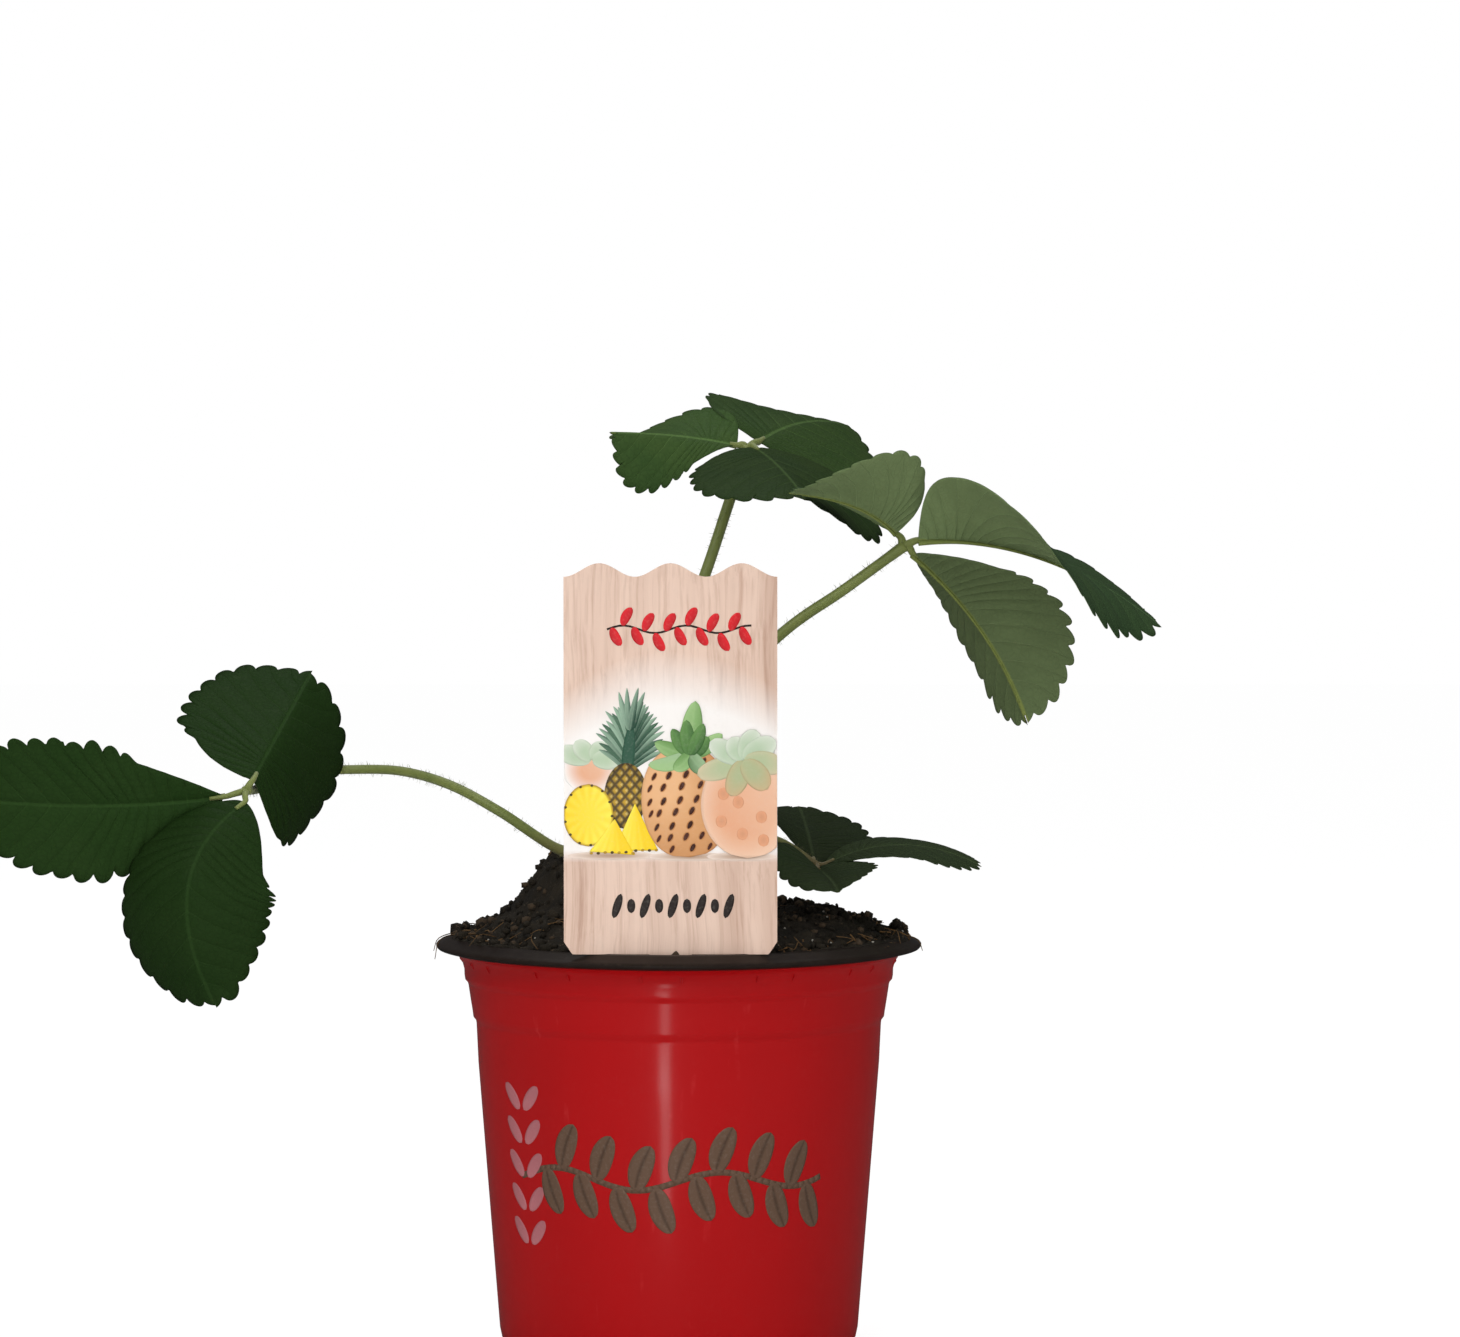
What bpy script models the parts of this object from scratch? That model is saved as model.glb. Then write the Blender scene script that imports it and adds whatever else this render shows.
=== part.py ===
# A young strawberry plant in a 12 cm nursery pot, with a flat plant label on a stake.
# Frame: +Z up, origin on the pot's axis in the plane it stands on, the label faces -Y.
# Every length below is in millimetres, and the meshes are written in metres.

import math

import bmesh
import bpy
import numpy as np
from mathutils import Vector
from mathutils.geometry import delaunay_2d_cdt

millimetre = 0.001
gap = 0.3                       # clearance between pieces that touch

# pot: a thin thermoformed shell, wider at the top
potHeight = 101.5
rimRadius = 60.0                # outer edge of the lip
crestRadius = 55.2              # highest ring of the lip
footRadius = 44.4
wallThickness = 1.0
floorTop = 2.7                  # inside floor above the surface the pot stands on
padRadius = 12.0                # flat pad in the middle of the base
potSegments = 48
slotCount = 4
slotWidth = 7.0
slotTurn = 48.0                 # first slot, in degrees round from +X
holeRadius = 4.0
holeRing = 25.0

# soil: fills the pot and heaps round the crown
soilEdge = 99.4                 # height where it meets the wall
soilSwell = 8.0
moundHeight = 11.0
moundRadius = 21.0
moundCentre = (-16.0, 0.0)
soilSegments = 40

# crown and roots
crownCentre = (-12.0, 0.0, 117.0)
crownRadius = 6.5
crownRise = 8.0                 # dome height above the centre
crownDepth = 14.0               # stock below the centre
rootCount = 5
rootLength = 46.0
rootRadius = 1.5

# plant label
labelWidth = 50.5
labelCentre = -1.6
labelBase = 101.8               # stands just clear of the lip's crest
labelTop = 190.8
scallopRise = 3.2
scallops = 3
labelThickness = 0.6
labelFront = -52.8
stakeWidth = 10.0
stakeBend = 98.5                # height where the stake leans in
stakeLean = 14.0                # degrees
stakeEnd = 58.0
stakePoint = 9.0

# leaves
leafThickness = 0.5
toothSize = 0.035               # share of the leaflet's length
toothStart = 0.3                # share of the margin's length without teeth
ribPoints = 14                  # steps along the rib
flatGap = 1e-6                  # points closer than this in the flat outline are one
plainRows = 4

leaves = {
    "leaf_left": {
        "petiole": {"azimuth": 192, "rise": 30, "radii": (2.0, 1.25, 1.05), "route": [
            (-29, -8, 122.8), (-43.5, -14, 132.6), (-56.1, -8, 138.8), (-69, 3, 141.6),
            (-82, 7.5, 141.7), (-88, 3.5, 141.4), (-95.5, -9.5, 140), (-101.3, -26.5, 139),
            (-103.2, -39.2, 139.4)]},
        "end": {"rib": [(-108, -40, 138), (-138, -42.5, 136), (-171, -46, 138)],
                "face": [(0.15, -1, 0.1), (-0.2, -1, -0.2)], "left": (0.97, 0.75, 0.27),
                "right": (0.95, 0.42, 0.265), "foldLeft": (-3, -15, -3), "foldRight": (25, 19, 4),
                "teeth": 11},
        "lower": {"rib": [(-103, -42.5, 137), (-115, -57, 118), (-110, -52, 90.5)],
                  "face": [(0, -0.87, 0.5), (-0.05, -1, 0.05)], "left": (0.6, 0.5, 0.335),
                  "right": (0.8, 0.5, 0.375), "foldLeft": (-2, -6, -14),
                  "foldRight": (-14, -30, -16), "teeth": 10},
        "upper": {"rib": [(-101.5, -37.5, 142), (-97.5, -21.5, 151.5), (-91.5, 0.5, 165)],
                  "face": [(0.1, -0.55, 0.85), (0.15, -0.25, 0.95)], "left": (0.55, 0.37, 0.51),
                  "right": (0.36, 0.4, 0.6), "foldLeft": (3, 4, -6),
                  "foldRight": (-60, -38, -24), "teeth": 9},
    },
    "leaf_top": {
        "petiole": {"azimuth": 95, "rise": 72, "radii": (2.1, 1.5, 1.35), "route": [
            (-10, 6.5, 140), (-4, 11, 162), (6.4, 18, 190), (12.2, 22, 207.4),
            (17.2, 25, 222)]},
        "end": {"rib": [(20, 27, 223.5), (31, 44.5, 228.5), (42.5, 61.5, 228.3)],
                "face": [(-0.05, -0.2, 1), (0, 0.1, 1)], "left": (0.42, 0.5, 0.52),
                "right": (0.33, 0.5, 0.60), "foldLeft": (29, 8, -2),
                "foldRight": (-24, -38, -6), "teeth": 9},
        "left": {"rib": [(14.5, 25, 222.5), (-1, 21.5, 225), (-16, 15, 225.8)],
                 "face": [(-0.05, 0.05, 1), (-0.1, -0.1, 1)], "left": (1.2, 0.35, 0.44),
                 "right": (0.33, 0.65, 0.44), "foldLeft": (-35, -72, -12),
                 "foldRight": (42, 3, 0), "teeth": 9},
        "front": {"rib": [(19, 22.8, 221.8), (24.8, 2.5, 217), (30.5, -17.5, 209.8)],
                  "face": [(-0.05, 0.05, 1), (-0.1, -0.25, 0.95)], "left": (0.55, 0.35, 0.66),
                  "right": (0.67, 0.4, 0.51), "foldLeft": (-20, -34, -10),
                  "foldRight": (0, 9, -9), "teeth": 9},
    },
    "leaf_right": {
        "petiole": {"azimuth": -55, "rise": 62, "radii": (2.1, 1.5, 1.35), "route": [
            (-5, -8, 140), (7, -10, 158), (25.5, -12, 176.4), (40.5, -13.5, 187),
            (55.3, -15, 197.8)]},
        "end": {"rib": [(58.5, -15, 199), (88, -8, 195.3), (117.5, 2.5, 179.2)],
                "face": [(0.35, 0.7, 0.65), (0.3, -0.1, 0.95)], "left": (0.95, 0.45, 0.36),
                "right": (0.28, 0.75, 0.53), "foldLeft": (40, 6, 1),
                "foldRight": (8, -28, -18), "teeth": 10},
        "left": {"rib": [(53, -14, 200.8), (42.8, -23, 207.5), (28, -30, 210.7)],
                 "face": [(-0.1, 0.8, 0.6), (-0.2, 0, 1)], "left": (0.62, 0.55, 0.62),
                 "right": (0.5, 0.77, 0.43), "foldLeft": (0, 4, 9),
                 "foldRight": (49, 8, 19), "teeth": 9},
        "lower": {"rib": [(57.2, -14.5, 195.8), (74.5, -2, 177), (85.5, -3, 155.5)],
                  "face": [(0.37, 0.83, 0.4), (0.26, 0.92, -0.3)], "left": (0.9, 0.53, 0.22),
                  "right": (0.9, 0.65, 0.38), "foldLeft": (36, 40, 15),
                  "foldRight": (3, 3, -15), "teeth": 10},
    },
    "leaf_low": {
        "petiole": {"azimuth": 5, "rise": 35, "radii": (1.7, 0.95, 0.75), "route": [
            (4, 2.2, 126.5), (14, 3.4, 127.3), (25.5, 4.5, 124), (34.3, 5, 118.2)]},
        "end": {"rib": [(36.5, 5.3, 118.4), (55, 10, 122.8), (74, 11.5, 118.2)],
                "face": [(0, -0.1, 1), (0.1, 0, 1)], "left": (0.8, 0.5, 0.34),
                "right": (0.75, 0.65, 0.43), "foldLeft": (3, 3, -3),
                "foldRight": (5, -16, 2), "teeth": 8},
        "upper": {"rib": [(33.6, 7.4, 118.6), (32.2, 24.5, 125.2), (30.5, 42.5, 130.1)],
                  "face": [(0.44, -0.3, 0.85), (0.05, 0.15, 1)], "left": (0.77, 0.43, 0.43),
                  "right": (0.8, 0.55, 0.42), "foldLeft": (6, -12, 24),
                  "foldRight": (12, -3, -2), "teeth": 8},
        "front": {"rib": [(34.2, 2.8, 117.6), (37.3, -11.5, 115.8), (38.7, -26.4, 114.4)],
                  "face": [(-0.1, -0.65, 0.75), (0, -0.1, 1)], "left": (0.46, 0.6, 0.31),
                  "right": (0.65, 0.42, 0.32), "foldLeft": (-24, -3, 0),
                  "foldRight": (4, -8, 8), "teeth": 8},
    },
}

colours = {
    "pot": (0.40, 0.010, 0.011), "soil": (0.012, 0.010, 0.006), "label": (0.80, 0.62, 0.52),
    "crown": (0.10, 0.075, 0.035), "petiole": (0.11, 0.14, 0.037), "leaf": (0.024, 0.042, 0.015),
}


def clearScene():
    for item in list(bpy.data.objects):
        bpy.data.objects.remove(item)


def makeMaterial(name, colour, roughness):
    material = bpy.data.materials.new(name)
    material.use_nodes = True
    shader = material.node_tree.nodes["Principled BSDF"]
    shader.inputs["Base Color"].default_value = (*colour, 1.0)
    shader.inputs["Roughness"].default_value = roughness
    shader.inputs["Metallic"].default_value = 0.0
    return material


def makeObject(name, points, faces, material, origin=(0, 0, 0), parent=None, smooth=True):
    # the mesh is stored about the piece's own origin, and the object is placed by its location
    origin = np.array(origin, float)
    local = (np.asarray(points, float) - origin) * millimetre
    mesh = bpy.data.meshes.new(name)
    mesh.from_pydata([tuple(point) for point in local], [], faces)
    shell = bmesh.new()
    shell.from_mesh(mesh)
    bmesh.ops.recalc_face_normals(shell, faces=shell.faces)
    shell.to_mesh(mesh)
    shell.free()
    if smooth:
        mesh.shade_smooth()
        mesh.set_sharp_from_angle(angle=math.radians(40))
    if material:
        mesh.materials.append(material)
    item = bpy.data.objects.new(name, mesh)
    bpy.context.scene.collection.objects.link(item)
    item.location = origin * millimetre
    if parent:
        item.parent = parent
        item.location = item.location - parent.location
    return item


def makeEmpty(name, location):
    empty = bpy.data.objects.new(name, None)
    bpy.context.scene.collection.objects.link(empty)
    empty.location = np.array(location, float) * millimetre
    return empty


def combine(item, other, operation):
    # other is kept as a hidden guide, and the modifier stays on the object
    other.hide_render = True
    other.display_type = "WIRE"
    modifier = item.modifiers.new(other.name, "BOOLEAN")
    modifier.operation = operation
    modifier.object = other
    modifier.solver = "EXACT"


def latheSolid(profile, segments, centre=(0, 0)):
    # profile runs from one point on the axis to another; both ends are single points
    points = [(centre[0], centre[1], profile[0][1])]
    for radius, height in profile[1:-1]:
        for step in range(segments):
            angle = 2 * math.pi * step / segments
            points.append((centre[0] + radius * math.cos(angle),
                           centre[1] + radius * math.sin(angle), height))
    points.append((centre[0], centre[1], profile[-1][1]))
    rings = len(profile) - 2
    last = len(points) - 1
    faces = []
    for step in range(segments):
        following = (step + 1) % segments
        faces.append((0, 1 + following, 1 + step))
        for ring in range(rings - 1):
            low = 1 + ring * segments
            high = low + segments
            faces.append((low + step, low + following, high + following, high + step))
        top = 1 + (rings - 1) * segments
        faces.append((last, top + step, top + following))
    return points, faces


def smoothRoute(route, count):
    # Catmull-Rom curve through the route's points, read at equal steps along its length
    route = np.array(route, float)
    ends = np.vstack([2 * route[0] - route[1], route, 2 * route[-1] - route[-2]])
    fine = []
    for index in range(1, len(ends) - 2):
        before, start, finish, after = ends[index - 1:index + 3]
        for share in np.linspace(0, 1, 24, endpoint=False):
            fine.append(0.5 * (2 * start + (finish - before) * share
                               + (2 * before - 5 * start + 4 * finish - after) * share ** 2
                               + (3 * start - before - 3 * finish + after) * share ** 3))
    fine.append(route[-1])
    fine = np.array(fine)
    travelled = np.concatenate([[0], np.cumsum(np.linalg.norm(np.diff(fine, axis=0), axis=1))])
    wanted = np.linspace(0, travelled[-1], count)
    return np.stack([np.interp(wanted, travelled, fine[:, axis]) for axis in range(3)], axis=1)


def tubeSolid(path, radii, sides=8):
    # a closed tube whose cross-section is carried along the path without twisting
    path = np.asarray(path, float)
    ahead = np.gradient(path, axis=0)
    ahead /= np.linalg.norm(ahead, axis=1, keepdims=True)
    across = np.cross(ahead[0], (0.3, 0.2, 0.9))
    points = []
    for index, centre in enumerate(path):
        across = across - ahead[index] * np.dot(across, ahead[index])
        across /= np.linalg.norm(across)
        other = np.cross(ahead[index], across)
        for side in range(sides):
            angle = 2 * math.pi * side / sides
            points.append(centre + radii[index] * (across * math.cos(angle) + other * math.sin(angle)))
    faces = [tuple(range(sides)), tuple(range(len(points) - sides, len(points)))]
    for ring in range(len(path) - 1):
        for side in range(sides):
            following = (side + 1) % sides
            low = ring * sides
            high = low + sides
            faces.append((low + side, low + following, high + following, high + side))
    return points, faces


def outerWall():
    # radius and height from the foot up to the underside of the lip
    return [(footRadius - 2.8, 0), (footRadius, 4.2), (49.6, 70), (50.1, 80.6), (50.9, 81.6),
            (52.1, 89.5), (52.9, 90.7), (53, 93), (54.9, 96.7)]


def innerWall():
    # the same wall seen from inside, from the lip down to the floor
    inside = [(radius - wallThickness, height) for radius, height in outerWall()[:0:-1]]
    inside[0] = (54.2, 97)
    inside[-1] = (footRadius - wallThickness, 5)
    return inside


def buildPot(material):
    base = [(0, 0), (padRadius, 0), (padRadius + 1, floorTop - 1.2), (36, floorTop - 1.2), (37, 0)]
    lip = [(rimRadius, 98.4), (rimRadius, 99.6), (crestRadius, potHeight), (54.4, 101)]
    inner = innerWall() + [(footRadius - 2.4, floorTop), (0, floorTop)]
    points, faces = latheSolid(base + outerWall() + lip + inner, potSegments)
    pot = makeObject("pot", points, faces, material)
    for index in range(slotCount):
        slot = boxGuide(f"slot_guide_{index}", (6, slotWidth, 5.4), (43, 0, 1.5),
                        slotTurn + 360 * index / slotCount)
        combine(pot, slot, "DIFFERENCE")
    for index in range(slotCount):
        angle = math.radians(slotTurn + 45 + 360 * index / slotCount)
        centre = (holeRing * math.cos(angle), holeRing * math.sin(angle))
        hole = latheSolid([(0, -1), (holeRadius, -1), (holeRadius, 5), (0, 5)], 16, centre)
        combine(pot, makeObject(f"hole_guide_{index}", *hole, None), "DIFFERENCE")
    return pot


def boxGuide(name, size, centre, turn):
    # a box centred at a distance along +X and then turned round the pot's axis
    mesh = bpy.data.meshes.new(name)
    shell = bmesh.new()
    bmesh.ops.create_cube(shell, size=1)
    for corner in shell.verts:
        corner.co = [(corner.co[axis] * size[axis] + centre[axis]) * millimetre for axis in range(3)]
    shell.to_mesh(mesh)
    shell.free()
    guide = bpy.data.objects.new(name, mesh)
    bpy.context.scene.collection.objects.link(guide)
    guide.rotation_euler = (0, 0, math.radians(turn))
    return guide


def soilHeight(x, y):
    # a gentle dome, a steep-sided mound round the crown, a dip at the crown and small lumps
    reach = math.hypot(x, y) / 54
    dome = soilSwell * (1 - min(reach, 1) ** 6)
    away = math.hypot(x - moundCentre[0], y - moundCentre[1])
    mound = moundHeight / (1 + math.exp((away - moundRadius) / 2.5))
    crown = math.hypot(x - crownCentre[0], y - crownCentre[1])
    dip = 2.2 * math.exp(-(crown / 9) ** 2)
    lumps = 0.7 * math.sin(0.31 * x + 0.8) * math.cos(0.27 * y) + 0.4 * math.sin(0.5 * x - 0.44 * y)
    return soilEdge + dome + mound - dip + lumps * (1 - min(reach, 1) ** 4)


def buildSoil(material):
    sides = [(radius - gap, height) for radius, height in innerWall()[::-1]]
    sides = [(footRadius - 2.4 - gap, floorTop + gap)] + sides
    profile = [(0, floorTop + gap)] + sides + [(54.2 - gap, soilEdge)]
    outer = len(profile)
    profile += [(54 * share, 0) for share in (0.94, 0.86, 0.76, 0.65, 0.54, 0.43, 0.32, 0.2, 0.09)]
    profile.append((0, 0))
    points, faces = latheSolid(profile, soilSegments)
    firstTop = 1 + (outer - 1) * soilSegments
    for index in range(firstTop, len(points)):
        x, y = points[index][:2]
        points[index] = (x, y, soilHeight(x, y))
    soil = makeObject("soil", points, faces, material)
    combine(soil, makeObject("crown_clearance", *crownSolid(gap), None), "DIFFERENCE")
    for index in range(rootCount):
        clearance = makeObject(f"root_clearance_{index}", *rootSolid(index, gap), None)
        combine(soil, clearance, "DIFFERENCE")
    combine(soil, makeObject("stake_clearance", *stakeClearance(), None), "DIFFERENCE")
    return soil


def crownSolid(extra=0.0):
    # a short woody stock with a domed top
    profile = [(0, crownCentre[2] - crownDepth - extra), (crownRadius * 0.55, crownCentre[2] - crownDepth - extra)]
    profile.append((crownRadius + extra, crownCentre[2] - 6))
    for angle in (0, 25, 50, 70):
        turn = math.radians(angle)
        profile.append(((crownRadius + extra) * math.cos(turn),
                        crownCentre[2] + (crownRise + extra) * math.sin(turn)))
    profile.append((0, crownCentre[2] + crownRise + extra))
    return latheSolid(profile, 16, crownCentre[:2])


def rootSolid(index, extra=0.0):
    # a main root that leaves the stock, spreads and bends down
    turn = 2 * math.pi * (index + 0.3) / rootCount
    outward = np.array((math.cos(turn), math.sin(turn), 0))
    start = np.array(crownCentre) + (0, 0, -9)
    route = [start, start + outward * 9 + (0, 0, -4), start + outward * 20 + (0, 0, -17),
             start + outward * 25 + (0, 0, -rootLength)]
    path = smoothRoute(route, 7)
    if extra:
        path[-1] += (path[-1] - path[-2]) * extra / np.linalg.norm(path[-1] - path[-2])
    radii = np.linspace(rootRadius, 0.6, len(path)) + extra
    return tubeSolid(path, radii, 6)


def buildCrown(material):
    crown = makeObject("crown_and_roots", *crownSolid(), material)
    for index in range(rootCount):
        combine(crown, makeObject(f"root_guide_{index}", *rootSolid(index), None), "UNION")
    return crown


def stakeFront(height):
    # the label's front face: upright above the bend, leaning in towards the axis below it
    return labelFront + max(0.0, stakeBend - height) * math.tan(math.radians(stakeLean))


def labelOutline():
    half = labelWidth / 2
    bottom = labelBase
    corners = [(-stakeWidth / 2, bottom), (-half + 2, bottom), (-half, bottom + 3)]
    top = []
    for step in range(8 * scallops + 1):
        x = -half + labelWidth * step / (8 * scallops)
        wave = 0.5 * (1 - math.cos(2 * math.pi * scallops * (x + half) / labelWidth))
        top.append((x, labelTop + scallopRise * wave))
    return corners + top + [(half, bottom + 3), (half - 2, bottom), (stakeWidth / 2, bottom)]


def buildLabel(material):
    half = stakeWidth / 2
    card = labelOutline()
    neck = [(half, stakeBend), (-half, stakeBend)]
    shaft = [(half, stakeEnd + stakePoint), (0, stakeEnd), (-half, stakeEnd + stakePoint)]
    outline = card + neck + shaft
    depth = (0.0, labelThickness)
    points = [(labelCentre + x, stakeFront(z) + back, z) for back in depth for x, z in outline]
    count = len(outline)
    left, right = 0, len(card) - 1
    neckRight, neckLeft = len(card), len(card) + 1
    lowRight, tip, lowLeft = neckRight + 2, neckRight + 3, neckRight + 4
    front = [tuple(range(len(card))), (left, right, neckRight, neckLeft),
             (neckLeft, neckRight, lowRight, tip, lowLeft)]
    faces = front + [tuple(index + count for index in face[::-1]) for face in front]
    around = list(range(len(card))) + [neckRight, lowRight, tip, lowLeft, neckLeft]
    for here, there in zip(around, around[1:] + around[:1]):
        faces.append((here, there, there + count, here + count))
    return makeObject("plant_label", points, faces, material, smooth=False)


def stakeClearance():
    # a groove for the stake, open to the wall where the soil would be too thin to hold
    half = stakeWidth / 2 + gap
    low = stakeEnd - 0.6
    openBelow = 76
    section = [(-58, 112), (-58, openBelow), (stakeFront(openBelow) - gap, openBelow),
               (stakeFront(low) - gap, low), (stakeFront(low) + labelThickness + gap, low),
               (stakeFront(stakeBend) + labelThickness + gap, stakeBend),
               (stakeFront(stakeBend) + labelThickness + gap, 112)]
    points = [(labelCentre + side * half, y, z) for side in (-1, 1) for y, z in section]
    count = len(section)
    faces = [tuple(range(count)), tuple(range(2 * count - 1, count - 1, -1))]
    for index in range(count):
        following = (index + 1) % count
        faces.append((index, following, following + count, index + count))
    return points, faces


def unit(vectors):
    vectors = np.asarray(vectors, float)
    return vectors / np.linalg.norm(vectors, axis=-1, keepdims=True)


def halfMargin(shape, teeth):
    # the flat outline of one half in shares of the leaflet's length: x along the rib, y outwards
    baseFullness, tipFullness, width = shape
    angle = np.linspace(0, math.pi / 2, 900)
    along = np.sin(angle) ** 2
    widest = baseFullness / (baseFullness + tipFullness)
    outward = width * (along / widest) ** baseFullness * ((1 - along) / (1 - widest)) ** tipFullness
    travelled = np.concatenate([[0], np.cumsum(np.hypot(np.diff(along), np.diff(outward)))])
    travelled /= travelled[-1]
    count = 2 * teeth + 1
    rows = np.concatenate([np.linspace(0, toothStart, plainRows, endpoint=False),
                           np.linspace(toothStart, 1, count + 1)])
    x = np.interp(rows, travelled, along)
    y = np.interp(rows, travelled, outward)
    slope = unit(np.stack([np.gradient(x), np.gradient(y)], axis=1))
    tooth = np.zeros(len(rows))
    tooth[plainRows + 1::2] = toothSize
    x = x + tooth * (0.6 * slope[:, 0] - slope[:, 1])
    y = y + tooth * (0.6 * slope[:, 1] + slope[:, 0])
    y[0] = 0
    x[-1], y[-1] = 1 + toothSize / 2, 0
    return x, y


def foldedPoints(leaflet, x, y, side):
    # carries flat points onto the curved rib, folded up or down by the half's own angle
    base, middle, tip = np.array(leaflet["rib"], float)
    control = 2 * middle - (base + tip) / 2
    share = np.linspace(0, 1, 200)[:, None]
    curve = (1 - share) ** 2 * base + 2 * share * (1 - share) * control + share ** 2 * tip
    travelled = np.concatenate([[0], np.cumsum(np.linalg.norm(np.diff(curve, axis=0), axis=1))])
    length = travelled[-1]
    inside = np.clip(x, 0, 1)
    at = np.interp(inside * length, travelled, share[:, 0])[:, None]
    centre = (1 - at) ** 2 * base + 2 * at * (1 - at) * control + at ** 2 * tip
    along = unit(2 * (1 - at) * (control - base) + 2 * at * (tip - control))
    centre = centre + along * ((x - inside) * length)[:, None]
    baseFace, tipFace = unit(leaflet["face"])
    facing = baseFace * (1 - inside)[:, None] + tipFace * inside[:, None]
    facing = unit(facing - along * (facing * along).sum(axis=1, keepdims=True))
    outward = np.cross(facing, along) * side
    atBase, atTip, cup = leaflet["foldLeft"] if side > 0 else leaflet["foldRight"]
    widest = max(leaflet["left"][2], leaflet["right"][2])
    fold = np.radians(atBase * (1 - inside) + atTip * inside + cup * y / widest)
    return (centre + outward * (y * length * np.cos(fold))[:, None]
            + facing * (y * length * np.sin(fold))[:, None])


def leafletSheet(leaflet):
    # triangles over the flat outline, so no two of them overlap, carried onto the folded blade
    leftX, leftY = halfMargin(leaflet["left"], leaflet["teeth"])
    rightX, rightY = halfMargin(leaflet["right"], leaflet["teeth"])
    outline = list(zip(leftX, leftY)) + list(zip(rightX, -rightY))[-2:0:-1]
    ribShares = np.linspace(0, 1, ribPoints + 1)[1:-1]
    inner = []
    for share in ribShares:
        inner += [(share, 0), (share, 0.5 * np.interp(share, leftX, leftY)),
                  (share, -0.5 * np.interp(share, rightX, rightY))]
    ribLoop = [0] + list(range(len(outline), len(outline) + len(inner), 3)) + [len(leftX) - 1]
    flat = [Vector((float(x), float(y))) for x, y in outline + inner]
    flat, _, triangles, *_ = delaunay_2d_cdt(flat, list(zip(ribLoop, ribLoop[1:])),
                                             [list(range(len(outline)))], 1, flatGap)
    flat = np.array([tuple(point) for point in flat])
    left = foldedPoints(leaflet, flat[:, 0], np.abs(flat[:, 1]), 1)
    right = foldedPoints(leaflet, flat[:, 0], np.abs(flat[:, 1]), -1)
    return np.where(flat[:, 1:] >= 0, left, right), [tuple(triangle) for triangle in triangles]


def buildLeaflet(name, leaflet, material, parent):
    item = makeObject(name, *leafletSheet(leaflet), material, leaflet["rib"][0], parent)
    thicken = item.modifiers.new("blade", "SOLIDIFY")
    thicken.thickness = leafThickness * millimetre
    thicken.offset = 0
    return item


def petiolePath(petiole):
    # starts square on the crown's dome, just clear of it
    azimuth, rise = math.radians(petiole["azimuth"]), math.radians(petiole["rise"])
    spread = crownRadius * math.cos(rise)
    start = np.array(crownCentre) + (spread * math.cos(azimuth), spread * math.sin(azimuth),
                                     crownRise * math.sin(rise))
    normal = unit((math.cos(rise) * math.cos(azimuth) / crownRadius,
                   math.cos(rise) * math.sin(azimuth) / crownRadius, math.sin(rise) / crownRise))
    return smoothRoute([start + normal * 0.6, start + normal * 3.5] + petiole["route"], 14)


def buildLeaf(leafName, leaf, petioleMaterial, leafMaterial):
    petiole = leaf["petiole"]
    path = petiolePath(petiole)
    share = np.linspace(0, 1, len(path))
    radii = np.interp(share, (0, 0.12, 1), petiole["radii"])
    joint = makeEmpty(leafName, path[-1])
    stem = makeObject(f"{leafName}_petiole", *tubeSolid(path, radii), petioleMaterial,
                      path[-1], joint)
    for key, leaflet in leaf.items():
        if key == "petiole":
            continue
        buildLeaflet(f"{leafName}_{key}", leaflet, leafMaterial, joint)
        towards = np.array(leaflet["rib"][0], float) - path[-1]
        reach = np.linalg.norm(towards)
        stalkRadius = radii[-1] * 0.6
        stalkEnd = path[-1] + towards * (1 - 0.6 / reach)
        stalk = tubeSolid([path[-1] - towards * 0.2 / reach, stalkEnd], [stalkRadius] * 2, 6)
        guide = makeObject(f"{leafName}_{key}_stalk", *stalk, None)
        combine(stem, guide, "UNION")
    return joint


clearScene()
petioleMaterial = makeMaterial("petiole", colours["petiole"], 0.5)
leafMaterial = makeMaterial("leaf", colours["leaf"], 0.45)
buildPot(makeMaterial("pot", colours["pot"], 0.35))
buildSoil(makeMaterial("soil", colours["soil"], 0.95))
buildLabel(makeMaterial("label", colours["label"], 0.5))
buildCrown(makeMaterial("crown", colours["crown"], 0.8))
for leafName, leaf in leaves.items():
    buildLeaf(leafName, leaf, petioleMaterial, leafMaterial)
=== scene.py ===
import math

import bmesh
import bpy
import numpy as np
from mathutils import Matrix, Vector, noise


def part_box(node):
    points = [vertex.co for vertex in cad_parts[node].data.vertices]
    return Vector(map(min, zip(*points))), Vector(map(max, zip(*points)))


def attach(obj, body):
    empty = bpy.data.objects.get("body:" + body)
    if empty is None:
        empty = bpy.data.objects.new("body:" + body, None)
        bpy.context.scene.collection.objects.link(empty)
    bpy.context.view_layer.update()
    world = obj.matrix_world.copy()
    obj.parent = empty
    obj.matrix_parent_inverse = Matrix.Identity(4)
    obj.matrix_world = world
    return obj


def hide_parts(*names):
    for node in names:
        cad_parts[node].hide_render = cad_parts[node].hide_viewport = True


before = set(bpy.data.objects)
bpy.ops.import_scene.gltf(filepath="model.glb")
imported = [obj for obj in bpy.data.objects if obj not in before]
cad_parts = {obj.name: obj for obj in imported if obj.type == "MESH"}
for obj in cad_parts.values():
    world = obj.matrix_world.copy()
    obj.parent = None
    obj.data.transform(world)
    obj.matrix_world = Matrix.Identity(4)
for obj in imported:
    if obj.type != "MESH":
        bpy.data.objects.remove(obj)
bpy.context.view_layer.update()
mm = 0.001   # all sizes below are in millimetres


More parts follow.
